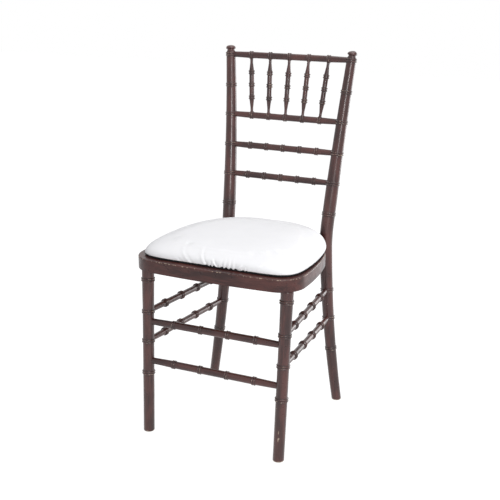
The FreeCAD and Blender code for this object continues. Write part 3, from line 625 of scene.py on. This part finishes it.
def stained_beech(name, turn=None):
    """Beech under mahogany stain and satin lacquer, worn through on crests and edges, with painted shade in
    the turned hollows and a painted highlight laid on with the wear along the sawn pieces' upper edges.

    A sawn piece says how its grain is turned. A turned piece brings its own places, marks and painted
    shade.
    """
    turned = turn is None
    finish = bpy.context.scene.chair_wood
    s = Shader(name)
    if turned:
        where = s.attribute("grain_place")
        crest, hollow, bare = s.parts(s.attribute("turned_marks_and_shade"))
    else:
        where = s.rotated(s.place(), turn)
        # Sawn pieces: the upward-sloping edges, where wear and a painted highlight line are laid on
        # together.
        upward = s.parts(s.node("NewGeometry").outputs["Normal"])["Z"]
        crest = s.times(s.fade(upward, 0.15, 0.5), s.fade(upward, 0.88, 0.985, 1, 0))
    cloud = s.noise(where, 42, 4, along=0.25)
    streak = s.noise(where, 420, 4, 0.65, along=0.055)
    pores = s.fade(s.noise(where, 1500, 2, along=0.09), 0.60, 0.72)
    tone = s.fade(s.combine("ADD", s.times(cloud, 0.65), s.times(streak, 0.35)), 0.36, 0.64)
    wood = s.mix(tone, finish.dark, finish.red)
    wood = s.mix(s.times(pores, 0.45), wood, (0.010, 0.004, 0.004))
    rub = s.noise(where, 160, 3)
    # Wear on the crests; on the sawn pieces it is also a painted highlight along the upper edges.
    worn = s.fade(s.times(crest, s.fade(rub, 0.42, 0.66)), 0.35, 0.85)
    if turned:
        # Painted shade: the hollows between and beside the beads are darkened nearly to black, as if in
        # shadow.
        wood = s.mix(s.times(hollow, 0.8), wood, (0.012, 0.005, 0.005))
        chipped = s.times(bare, s.fade(rub, 0.30, 0.55, 0.5, 1.2))
        worn = s.combine("MAXIMUM", worn, s.fade(chipped, 0.45, 0.75))
    scuff = s.fade(s.noise(where, 95, 6, 0.75, along=0.5), 0.715, 0.76)
    worn = s.combine("MAXIMUM", worn, s.times(scuff, 0.55))
    amber = s.mix(0.55, finish.red, finish.bare)
    wood = s.mix(s.times(worn, 0.85), wood, s.mix(s.fade(worn, 0.4, 0.9), amber, finish.bare))
    rough = s.fade(s.noise(where, 70, 3), 0.3, 0.7, 0.27, 0.40)
    rough = s.combine("ADD", rough, s.times(worn, 0.25))
    height = s.combine("SUBTRACT", s.times(streak, 0.5), s.times(pores, 0.5))
    normal = s.bump(height, 0.00012, 0.6)
    normal = s.bump(s.noise(where, 900, 2), 0.00006, 0.35, Normal=normal)
    coat, density = (0.35, 1.42) if turned else (0.15, 1.38)
    return s.finish(
        Base_Color=wood, Roughness=rough, Normal=normal, Coat_Weight=coat, Coat_Roughness=0.10, IOR=density
    )


def raw_wood(name, tint, stretch=0.05):
    """Unstained wood with its grain from side to side."""
    s = Shader(name)
    where = s.rotated(s.place(), (0, QUARTER_TURN, 0))
    streak = s.noise(where, 300, 4, 0.6, along=stretch)
    bands = s.noise(where, 38, 3, along=stretch)
    wood = s.mix(s.fade(streak, 0.35, 0.7), tint, shade(tint, 0.62))
    wood = s.mix(s.times(s.fade(bands, 0.4, 0.65), 0.35), wood, shade(tint, 0.8))
    return s.finish(Base_Color=wood, Roughness=0.72, Normal=s.bump(streak, 0.0002, 0.5))


def knitted_cover(tint):
    """Smooth white stretch knit, its loops just visible close up."""
    s = Shader("White_Stretch_Knit")
    where = s.place()
    knit = s.threads(where, 180, 140)
    white = s.mix(s.fade(s.noise(where, 24, 4), 0.35, 0.7), tint, shade(tint, 0.985))
    white = s.mix(s.times(knit, 0.10), white, shade(tint, 0.8))
    normal = s.bump(knit, 0.00010, 0.35)
    normal = s.bump(s.noise(where, 1400, 2), 0.00008, 0.35, Normal=normal)
    return s.finish(
        Base_Color=white, Roughness=0.82, Normal=normal, Sheen_Weight=0.12, Sheen_Roughness=0.45,
        Specular_IOR_Level=0.3,
    )


def woven_tape(name, tint, scale):
    """Narrow woven tape or elastic with crossing threads."""
    s = Shader(name)
    threads = s.threads(s.place(), scale, scale)
    woven = s.mix(threads, shade(tint, 0.55), tint)
    return s.finish(Base_Color=woven, Roughness=0.85, Normal=s.bump(threads, 0.0003, 0.7))


def cut_foam(tint):
    s = Shader("Cut_Foam")
    bubbles = s.node("TexVoronoi", {"Vector": s.place(), "Scale": 900}).outputs["Distance"]
    foam = s.mix(s.fade(bubbles, 0.1, 0.6), shade(tint, 0.6), tint)
    return s.finish(Base_Color=foam, Roughness=0.95, Normal=s.bump(bubbles, 0.0006, 0.8))


def plated_zinc(tint):
    s = Shader("Plated_Zinc")
    spangle = s.noise(s.place(), 600, 3)
    zinc = s.mix(s.fade(spangle, 0.35, 0.7), tint, shade(tint, 0.7))
    rough = s.fade(spangle, 0.3, 0.7, 0.28, 0.5)
    return s.finish(Base_Color=zinc, Roughness=rough, Metallic=1.0, Normal=s.bump(spangle, 0.0001, 0.4))


def turned_member(name, ends, hosts, shares, width, rise, middle, tip, seed):
    """A rail, spindle or stretcher between two hosts, with rings at shares of its length."""
    sizes = bpy.context.scene.chair_members
    span = (ends[1] - ends[0]).length
    way = (ends[1] - ends[0]).normalized()
    far = span - hosts[1]
    centres = [span * share for share in shares]
    places = station_places(hosts[0] - sizes.socket, far + sizes.socket, centres, width, 0.004)
    start = (hosts[0] + sizes.bare_end, centres[0] - width / 2)
    end = (centres[-1] + width / 2, far - sizes.bare_end)
    shaft = np.interp(places, (*start, *end), (tip, middle, middle, tip)) / 2
    groove = bpy.context.scene.chair_rings.groove
    lift, crest, hollow = bead_profile(places, centres, width, rise, groove)
    surface = (places, shaft + lift, crest, hollow)
    turning = Turning(lambda place: ends[0] + way * place, *surface, sides=32, seed=seed)
    turning.uneven(0.00006)
    turning.nicks(centres, width, 10)
    place_turned(turning.build(f"turned_{name}"), name)


def upright_surface(line, end, rise):
    """A post's or leg's stations from the floor to end: rows of places, radii, crests and painted shade in
    the hollows.
    """
    rings = bpy.context.scene.chair_rings
    places = station_places(0, end, line.rings, rings.width, 0.005)
    lift, crest, hollow = bead_profile(places, line.rings, rings.width, rise, rings.groove)
    short = np.clip(1 - places / FOOT_ROUNDING, 0, 1)
    rounding = FOOT_ROUNDING * (1 - np.sqrt(1 - short**2))
    return np.stack([places, line.radius(places) + lift - rounding, crest, hollow])


def turned_pair(name, line, surface, nicks, worn_height, dents, seed):
    """The left and right posts or legs, bare at the foot. The dents are in the right-hand one."""
    worn = smooth_step(-surface[0], -worn_height, 0)[:, None]
    for number, side in enumerate(SIDES):
        turning = Turning(line, *surface, sides=44, seed=seed + number)
        turning.uneven(0.0001)
        turning.nicks(line.rings, bpy.context.scene.chair_rings.width, nicks)
        for dent in dents if side == "right" else ():
            turning.dent(*dent)
        turning.bare = np.maximum(turning.bare, worn)
        obj = turning.build(f"turned_{name}_{side}", level_ends=True)
        if side == "left":
            mirror_right_to_left(obj)
        place_turned(obj, f"{name}_{side}")


def collar_shares(ring, end):
    """Where a back rail's collars are, as shares of its length. Its right end is on a ring of the post."""
    sizes = bpy.context.scene.chair_members
    pitch = sizes.collar_pitches[BACK_RINGS.index(ring)] / (2 * end.x)
    middle = (sizes.rail_collars - 1) / 2
    return [0.5 + pitch * (number - middle) for number in range(sizes.rail_collars)]


def flipped(point):
    return Vector((-point.x, point.y, point.z))


class CushionForm:
    """The cushion's plan outline and side profile."""

    def __init__(self, inset=0.0):
        self.sizes = sizes = bpy.context.scene.chair_cushion
        self.inset = inset
        self.front = SEAT_FRONT + sizes.front_set_in + inset
        self.back = SEAT_REAR - sizes.rear_set_in - inset
        self.middle = (self.front + self.back) / 2
        self.half_depth = (self.back - self.front) / 2
        self.half_width = SEAT_HALF_WIDTH - sizes.side_set_in - inset
        self.floor = SEAT_TOP

    def outline(self, bearings, front_power):
        """The plan's outline in each direction, as offsets from the cushion's middle."""
        near = np.zeros_like(bearings)
        far = np.full_like(bearings, 2 * self.half_width)
        power = np.where(np.sin(bearings) > 0, self.sizes.rear_power, front_power)
        for _ in range(40):
            guess = (near + far) / 2
            along = guess * np.sin(bearings) / self.half_depth
            behind_widest = np.clip(along - self.sizes.widest_at, 0, None)
            width = self.half_width * (1 - self.sizes.taper * behind_widest**2)
            across = guess * np.cos(bearings) / width
            inside = np.abs(across) ** power + np.abs(along) ** power < 1
            near = np.where(inside, guess, near)
            far = np.where(inside, far, guess)
        return near * np.cos(bearings), near * np.sin(bearings)

    def bearings(self, spacing_at):
        """Directions whose points on the hem's outline are as close together as spacing_at says."""
        fine = np.linspace(-math.pi / 2, 1.5 * math.pi, 8001)
        x, y = self.outline(fine, self.sizes.front_powers[0])
        steps = np.hypot(np.diff(x), np.diff(y)) / spacing_at(x[:-1], y[:-1] + self.middle)
        travelled = np.concatenate([[0], np.cumsum(steps)])
        stops = np.linspace(0, travelled[-1], int(travelled[-1]), endpoint=False)
        return np.interp(stops, travelled, fine)

    def profile(self, count):
        """Rows from the hem up to the crown: share of the plan, height above the seat, front power."""
        s = self.sizes
        degrees = np.linspace(7.5, 89.5, 4001)
        angles = np.radians(degrees)
        wide = np.abs(np.cos(angles)) ** (2 / s.side_power)
        rise = s.crown - self.inset + s.centre_drop
        high = rise * np.sin(angles) ** (2 / s.side_power) - s.centre_drop
        hem, crown = s.front_powers
        power = hem + (crown - hem) * np.clip((degrees - 9) / 76, 0, 1)
        distance = np.hypot(np.diff(wide) * self.half_width, np.diff(high))
        travelled = np.concatenate([[0], np.cumsum(distance)])
        stops = travelled[-1] * np.linspace(0, 1, count) ** 1.35
        return [np.interp(stops, travelled, values) for values in (wide, high, power)]

    def ring(self, x, y, high):
        """Points round the cushion's middle at a height above the seat."""
        return np.stack([x, self.middle + y, self.floor + high + 0 * x], axis=-1)


def smooth_step(value, low, high):
    t = np.clip((value - low) / (high - low), 0, 1)
    return t * t * (3 - 2 * t)


def gather_strength(x, y, front):
    """How strongly the cover is gathered at a place round the hem: most at the front's middle."""
    at_front = smooth_step(front + 0.06 - y, 0, 0.04)
    return at_front * np.exp(-(((x - GATHER_MIDDLE) / GATHER_REACH) ** 4))


def gather_wave(x):
    """Uneven puckers along the front hem, from -1 in a fold to 1 on a ridge."""
    turns = 2 * math.pi * x
    drift = 1.3 * np.sin(turns / 0.047 + 0.7) + 0.8 * np.sin(turns / 0.029)
    return np.sin(turns / PUCKER_PITCH + drift)


def crease(x, height, foot_x, lean, top, width):
    """How near a place is to a fold that runs up from the hem at foot_x and leans sideways as it climbs."""
    line = foot_x + lean * height / top
    reach = smooth_step(top - height, 0, top * 0.6)
    return np.exp(-(((x - line) / width) ** 2)) * reach


def stacked_solid(form, name, rows):
    """A closed solid over rows of (share of the plan, height above the seat, front power)."""
    bearings = form.bearings(lambda x, y: CLOTH_MESH)
    rings = []
    for wide, high, power in rows:
        x, y = form.outline(bearings, power)
        rings.append(form.ring(x * wide, y * wide, high))
    return skin(name, np.array(rings))


def mesh_vectors(mesh, kind="co"):
    """A mesh's points, or its normals."""
    vectors = np.empty(len(mesh.vertices) * 3)
    mesh.vertices.foreach_get(kind, vectors)
    return vectors.reshape(-1, 3)


def swelling(form):
    """Blows up a coarse copy of the dome as cloth held at its hem. Gives its points and how far they move.

    The foam keeps the cover from going inwards, so only the outward part of a move counts.
    """
    sizes = form.sizes
    hem = sizes.hem_height
    rows = [(0.97, hem, sizes.front_powers[0])]
    rows += [row for row in zip(*form.profile(26)) if row[1] > hem + 0.001]
    obj = stacked_solid(form, "cushion_trial", rows)
    even = obj.modifiers.new("Even mesh", "REMESH")
    even.mode = "VOXEL"
    even.voxel_size = CLOTH_MESH
    graph = bpy.context.evaluated_depsgraph_get()
    obj.data = bpy.data.meshes.new_from_object(obj.evaluated_get(graph))
    obj.modifiers.remove(even)
    start = mesh_vectors(obj.data)
    outward = mesh_vectors(obj.data, "normal")
    held = obj.vertex_groups.new(name="Held")
    held.add([int(i) for i in np.flatnonzero(start[:, 2] < form.floor + hem + CLOTH_MESH)], 1.0, "REPLACE")
    cloth = obj.modifiers.new("Swelling", "CLOTH")
    cloth.settings.vertex_group_mass = "Held"
    cloth.settings.use_pressure = True
    cloth.settings.uniform_pressure_force = sizes.pressure
    cloth.settings.effector_weights.gravity = 0
    for number in range(SIMULATED_FRAMES):
        bpy.context.scene.frame_set(number + 1)
    graph = bpy.context.evaluated_depsgraph_get()
    moves = mesh_vectors(obj.evaluated_get(graph).data) - start
    bpy.context.scene.frame_set(1)
    mesh = obj.data
    bpy.data.objects.remove(obj)
    bpy.data.meshes.remove(mesh)
    push = np.clip((moves * outward).sum(axis=1, keepdims=True), 0, sizes.swell_limit)
    return start, outward * push


def carried(points, start, moves):
    """Moves points along with the eight nearest points of the simulated copy."""
    tree = KDTree(len(start))
    for number, place in enumerate(start):
        tree.insert(place, number)
    tree.balance()
    moved = []
    for point in points:
        near = tree.find_n(point, 8)
        weights = np.array([1 / (distance + 0.002) for _, _, distance in near])
        move = weights @ moves[[number for _, number, _ in near]] / weights.sum()
        moved.append(point + move)
    return np.array(moved)


def cushion_cover_mesh(form, coarse):
    """The dome's rows from the rolled edge under the hem up to the crown, gathered at the front."""
    sizes = form.sizes
    hem = sizes.hem_height
    dense = 0.004 if coarse else 0.0012

    def spacing_at(x, y):
        return dense + 0.003 * (1 - np.clip(gather_strength(x, y, form.front) * 1.6, 0, 1))

    bearings = form.bearings(spacing_at)
    x, y = form.outline(bearings, sizes.front_powers[0])
    gather = gather_strength(x, y + form.middle, form.front)
    wave = gather_wave(x)
    rows = [(wide, hem + rise, sizes.front_powers[0], 0) for wide, rise in ROLLED_EDGE]
    for wide, high, power in zip(*form.profile(24 if coarse else 56)):
        if high >= hem + CLOTH_THICKNESS:
            rows.append((wide, high, power, high - hem))
    rings = []
    for wide, high, power, above in rows:
        shares = wide + gather * (GATHER_PLAY * wave - GATHER_DRAW) * math.exp(-above / 0.012)
        drop = GATHER_DROP * gather * wave * math.exp(-above / 0.004)
        rx, ry = form.outline(bearings, power)
        rings.append(form.ring(rx * shares, ry * shares, high - drop))
    rings = np.array(rings)
    faces = ring_faces(rings)
    apex = rings[..., 0].size
    last = np.arange(apex - len(x), apex)
    faces += [[a, b, apex] for a, b in zip(last.tolist(), np.roll(last, -1).tolist())]
    points = np.vstack([rings.reshape(-1, 3), [rings[-1].mean(axis=0)]])
    return mesh_object("cushion_cover_cloth", points, faces)


def folded(points, form):
    """Adds the soft folds that run up from the gathered hem at the front, each with a valley beside it."""
    x, y, z = points.T
    high = z - form.floor
    at_front = smooth_step(form.middle - 0.05 - y, 0, 0.08)
    push = 0
    for foot, lean, top, width, depth in FOLDS:
        ridge = crease(x, high, foot, lean, top, width)
        valley = crease(x, high, foot + 1.9 * width, lean, top, 1.2 * width)
        push = push + depth * (ridge - 0.8 * valley)
    y = y - at_front * push
    z = z + at_front * push * 0.4
    return np.stack([x, y, z], axis=-1)


def binding_mesh(form):
    """The black elastic band under the cover's edge, ribbed by its own gathering."""
    bearings = form.bearings(lambda x, y: RIB_PITCH / 5)
    x, y = form.outline(bearings, form.sizes.front_powers[0])
    rib = RIB_DEPTH * np.sin(np.arange(len(x)) * 2 * math.pi / 5) / form.half_width
    rib -= 0.004 * gather_strength(x, y + form.middle, form.front)
    rings = np.array([form.ring(x * (wide + rib), y * (wide + rib), high) for wide, high in BAND_ROWS])
    obj = mesh_object("cushion_binding", rings.reshape(-1, 3), ring_faces(rings))
    add_thickness(obj, BAND_THICKNESS)
    return obj


class CHAIR_OT_stage(Operator):
    """Set up the camera, the plain pale floor and the soft studio light"""

    bl_idname = "chair.stage"
    bl_label = "Stage"

    def execute(self, context):
        settings = context.scene.chair_stage
        self.camera(context, settings)
        self.floor(settings)
        self.surround(context, settings)
        self.lamps()
        context.scene.view_settings.view_transform = "Standard"
        return {"FINISHED"}

    def camera(self, context, settings):
        data = bpy.data.cameras.new("Photograph_Camera")
        data.sensor_width = 36
        data.lens = settings.lens
        data.clip_start = 0.05
        data.clip_end = 60
        obj = bpy.data.objects.new("Photograph_Camera", data)
        context.scene.collection.objects.link(obj)
        turn = Matrix.Rotation(settings.azimuth, 4, "Z")
        turn @= Matrix.Rotation(QUARTER_TURN - settings.elevation, 4, "X")
        turn @= Matrix.Rotation(settings.roll, 4, "Z")
        obj.matrix_world = Matrix.Translation(settings.camera_place) @ turn
        context.scene.camera = obj

    def floor(self, settings):
        half = settings.floor_size / 2
        corners = [(-half, -half, 0), (half, -half, 0), (half, half, 0), (-half, half, 0)]
        obj = mesh_object("Studio_Floor", corners, [[0, 1, 2, 3]])
        obj.location.z = -0.0004
        s = Shader("Pale_Floor")
        obj.data.materials.append(s.finish(Base_Color=(0.76, 0.76, 0.76, 1), Roughness=0.9))
        painted = s.node("BsdfDiffuse", {"Color": (0.30, 0.30, 0.30, 1)})
        glow = s.node("Emission", {"Strength": 0.88})
        both = s.node("AddShader", {0: painted.outputs[0], 1: glow.outputs[0]})
        s.show("Material Output", s.tree.nodes["Principled BSDF"], both)

    def surround(self, context, settings):
        s = Shader("White_Surround", "worlds")
        way = s.node("TexCoord").outputs["Generated"]
        facing = s.node("VectorMath", {0: way, 1: settings.brightest}, operation="DOT_PRODUCT")
        strengths = {"From Max": 0.85, "To Min": settings.horizon, "To Max": settings.zenith}
        dome = s.node("MapRange", {"Value": facing.outputs["Value"], **strengths}).outputs["Result"]
        soft = s.tree.nodes["Background"]
        s.put(soft.inputs["Color"], (0.97, 0.96, 1.0, 1))
        s.put(soft.inputs["Strength"], dome)
        s.show("World Output", soft, s.node("Background", {"Color": (1, 1, 1, 1)}))
        context.scene.world = s.owner

    def lamps(self):
        for name, (place, size, target, watts) in LAMPS.items():
            light = bpy.data.lights.new(name, "AREA")
            light.shape = "RECTANGLE"
            light.size, light.size_y = size
            light.energy = watts
            obj = bpy.data.objects.new(name, light)
            bpy.context.scene.collection.objects.link(obj)
            obj.location = place
            aim = Vector(target) - Vector(place)
            obj.rotation_euler = aim.to_track_quat("-Z", "Y").to_euler()


class CHAIR_OT_rear_posts(Operator):
    """Turn the two steam-bent rear posts with their rings and finials"""

    bl_idname = "chair.rear_posts"
    bl_label = "Rear posts"

    def execute(self, context):
        line = PostLine()
        neck = FINIAL_TOP - line.sizes.cap_height
        surface = upright_surface(line, neck, context.scene.chair_rings.post_rise)
        neck_part = surface[0] > neck - NECK_LENGTH
        surface[1][neck_part] = np.minimum(surface[1][neck_part], line.sizes.neck_diameter / 2)
        surface = np.hstack([surface, self.cap(line.sizes, neck)])
        turned_pair("rear_post", line, surface, nicks=34, worn_height=0.0070, dents=POST_DENTS, seed=11)
        return {"FINISHED"}

    def cap(self, sizes, neck):
        """The mushroom cap's stations above the neck: rows of places, radii, crests and painted shade,
        which is none on the cap.
        """
        wide = sizes.cap_diameter / 2
        thin = sizes.neck_diameter / 2
        turn = np.linspace(0.15, QUARTER_TURN, 7)
        flare = (neck + CAP_GAP + CAP_FLARE * (1 - np.cos(turn)), thin + (wide - thin) * np.sin(turn))
        base = flare[0][-1] + CAP_EDGE
        turn = np.linspace(0, math.radians(88), 16)
        dome = (base + (FINIAL_TOP - sizes.cap_sink - base) * np.sin(turn), wide * np.cos(turn) ** 0.9)
        places, radii = np.hstack([flare, dome])
        return np.stack([places, radii, np.full_like(places, 0.25), np.zeros_like(places)])


class CHAIR_OT_front_legs(Operator):
    """Turn the two straight front legs"""

    bl_idname = "chair.front_legs"
    bl_label = "Front legs"

    def execute(self, context):
        line = LegLine()
        surface = upright_surface(line, line.top + LEG_TENON, context.scene.chair_rings.leg_rise)
        turned_pair("front_leg", line, surface, nicks=22, worn_height=0.0075, dents=LEG_DENTS, seed=21)
        return {"FINISHED"}


class CHAIR_OT_back_rails(Operator):
    """Turn the four collared rails between the rear posts"""

    bl_idname = "chair.back_rails"
    bl_label = "Back rails"

    def execute(self, context):
        sizes = context.scene.chair_members
        rings = context.scene.chair_rings
        post = PostLine()
        names = ("top_rail", "spindle_rail", "middle_rail", "lower_back_rail")
        for seed, (name, ring) in enumerate(zip(names, reversed(BACK_RINGS)), 31):
            end = post(post.rings[ring])
            host = post.radius(post.rings[ring])
            turned_member(
                name, (flipped(end), end), (host, host), collar_shares(ring, end), rings.collar_width,
                sizes.rail_rise, sizes.rail_diameter, sizes.rail_end, seed,
            )
        return {"FINISHED"}


class CHAIR_OT_spindles(Operator):
    """Turn the five spindles between the upper two rails"""

    bl_idname = "chair.spindles"
    bl_label = "Spindles"

    def execute(self, context):
        sizes = context.scene.chair_members
        post = PostLine()
        host = (sizes.rail_diameter + sizes.socket) / 2 + sizes.rail_rise
        rows = []
        for ring in BACK_RINGS[-2:]:
            end = post(post.rings[ring])
            rows.append([flipped(end).lerp(end, share) for share in collar_shares(ring, end)])
        for number, ends in enumerate(zip(*rows)):
            turned_member(
                f"spindle_{number + 1}", ends, (host, host), sizes.spindle_rings, sizes.spindle_ring_width,
                sizes.spindle_rise, sizes.spindle_diameter, sizes.spindle_end, 41 + number,
            )
        return {"FINISHED"}


class CHAIR_OT_stretchers(Operator):
    """Turn the two front and four side stretchers"""

    bl_idname = "chair.stretchers"
    bl_label = "Stretchers"

    def execute(self, context):
        sizes = context.scene.chair_members
        width = context.scene.chair_rings.collar_width
        post = PostLine()
        leg = LegLine()
        shares = np.linspace(0, 1, sizes.stretcher_rings + 2)[1:-1]
        front = (sizes.front_diameter, sizes.front_end)
        side = (sizes.side_diameter, sizes.side_end)
        runs = []
        for ring, level in enumerate(("lower", "upper")):
            height = leg.rings[ring] + sizes.front_above_rings[ring]
            ends = (flipped(leg(height)), leg(height))
            runs.append((f"front_stretcher_{level}", ends, (leg.radius(height),) * 2, front))
            heights = (leg.rings[ring + 1], post.rings[ring + 1])
            ends = (leg(heights[0]), post(heights[1]))
            hosts = (leg.radius(heights[0]), post.radius(heights[1]))
            runs.append((f"side_stretcher_right_{level}", ends, hosts, side))
            runs.append((f"side_stretcher_left_{level}", [flipped(end) for end in ends], hosts, side))
        for seed, (name, ends, hosts, (middle, tip)) in enumerate(runs, 51):
            rise = (sizes.stretcher_ring - middle) / 2
            turned_member(name, ends, hosts, shares, width, rise, middle, tip, seed)
        return {"FINISHED"}


class CHAIR_OT_seat_frame(Operator):
    """Stain and wear the four rails of the seat frame, with a painted highlight along their upper edges"""

    bl_idname = "chair.seat_frame"
    bl_label = "Seat frame"

    def execute(self, context):
        across = stained_beech("Stained_Beech_Across", (0, QUARTER_TURN, 0))
        along = stained_beech("Stained_Beech_Along", (QUARTER_TURN, 0, 0))
        dress(across, "seat_front_rail", "seat_rear_rail")
        dress(along, *(f"seat_side_rail_{side}" for side in SIDES))
        return {"FINISHED"}


class CHAIR_OT_seat_underside(Operator):
    """Finish the corner blocks, panel, fasteners and grip strips"""

    bl_idname = "chair.seat_underside"
    bl_label = "Seat underside"

    def execute(self, context):
        finish = context.scene.chair_wood
        soft = context.scene.chair_soft
        blocks = [f"corner_block_{end}_{side}" for end in ("front", "rear") for side in SIDES]
        dress(raw_wood("Raw_Beech_Block", finish.block), *blocks)
        dress(raw_wood("Birch_Plywood", finish.plywood, 0.03), "seat_panel")
        fasteners = ("corner_block_screws", "post_bolts", "post_bolt_washers", "seat_panel_screws")
        dress(plated_zinc(soft.zinc), *fasteners)
        dress(woven_tape("Hook_Tape", soft.tape, 520), "seat_hook_strips")
        return {"FINISHED"}


class CHAIR_OT_cushion_cover(Operator):
    """Stretch the white cover over the cushion and gather its hem"""

    bl_idname = "chair.cushion_cover"
    bl_label = "Cushion cover"

    def execute(self, context):
        form = CushionForm(context.scene.chair_cushion.swell)
        cover = cushion_cover_mesh(form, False)
        points = mesh_vectors(cover.data)
        points = carried(points, *swelling(form))
        cover.data.vertices.foreach_set("co", folded(points, form).ravel())
        cover.data.polygons.foreach_set("use_smooth", [True] * len(cover.data.polygons))
        cover.data.update()
        add_thickness(cover, CLOTH_THICKNESS)
        cloth = knitted_cover(context.scene.chair_soft.cloth)
        place_piece(cover, "cushion_cover", "cushion", cloth)
        return {"FINISHED"}


class CHAIR_OT_cushion_base(Operator):
    """Bind the cushion's underside and finish what is inside it"""

    bl_idname = "chair.cushion_base"
    bl_label = "Cushion base"

    def execute(self, context):
        soft = context.scene.chair_soft
        form = CushionForm()
        band = binding_mesh(form)
        elastic = woven_tape("Black_Elastic", soft.binding, 300)
        place_piece(band, "cushion_elastic", "cushion", elastic)
        squarest = form.sizes.front_powers[0]
        rows = [(*FOAM_FOOT, squarest)]
        for wide, high, power in zip(*form.profile(26)):
            if high > FOAM_FROM:
                rows.append((wide * FOAM_SHARE, high - FOAM_DROP, power))
        foam = stacked_solid(form, "cushion_filling", rows)
        place_piece(foam, "cushion_foam", "cushion", cut_foam(soft.foam))
        board = stacked_solid(form, "cushion_baseboard", [(*row, squarest) for row in BOARD_ROWS])
        ply = raw_wood("Cushion_Board", context.scene.chair_wood.plywood)
        place_piece(board, "cushion_board", "cushion", ply)
        dress(woven_tape("Loop_Tape", soft.tape, 380), "cushion_loop_strips")
        return {"FINISHED"}


class CHAIR_PT_pieces(Panel):
    """Lists the chair's pieces"""

    bl_idname = "CHAIR_PT_pieces"
    bl_label = "Ballroom chair"
    bl_space_type = "VIEW_3D"
    bl_region_type = "UI"
    bl_category = "Chair"

    def draw(self, context):
        for operator in OPERATORS:
            self.layout.operator(operator.bl_idname)
        for name, group in SETTINGS.items():
            box = self.layout.box()
            box.label(text=group.__doc__.rstrip("."))
            for setting in group.__annotations__:
                box.prop(getattr(context.scene, name), setting)


SETTINGS = {
    "chair_posts": PostSizes,
    "chair_legs": LegSizes,
    "chair_rings": RingSizes,
    "chair_members": MemberSizes,
    "chair_cushion": CushionSizes,
    "chair_wood": WoodFinish,
    "chair_soft": SoftFinish,
    "chair_stage": StageSettings,
}
OPERATORS = (
    CHAIR_OT_stage,
    CHAIR_OT_rear_posts,
    CHAIR_OT_front_legs,
    CHAIR_OT_back_rails,
    CHAIR_OT_spindles,
    CHAIR_OT_stretchers,
    CHAIR_OT_seat_frame,
    CHAIR_OT_seat_underside,
    CHAIR_OT_cushion_cover,
    CHAIR_OT_cushion_base,
)


def register():
    for group in SETTINGS.values():
        bpy.utils.register_class(group)
    for name, group in SETTINGS.items():
        setattr(bpy.types.Scene, name, PointerProperty(type=group))
    for operator in OPERATORS:
        bpy.utils.register_class(operator)
    bpy.utils.register_class(CHAIR_PT_pieces)


def unregister():
    bpy.utils.unregister_class(CHAIR_PT_pieces)
    for operator in reversed(OPERATORS):
        bpy.utils.unregister_class(operator)
    for name, group in SETTINGS.items():
        delattr(bpy.types.Scene, name)
        bpy.utils.unregister_class(group)


def main():
    register()
    for operator in OPERATORS:
        piece = operator.bl_idname.split(".")[1]
        getattr(bpy.ops.chair, piece)()


if __name__ == "__main__":
    main()
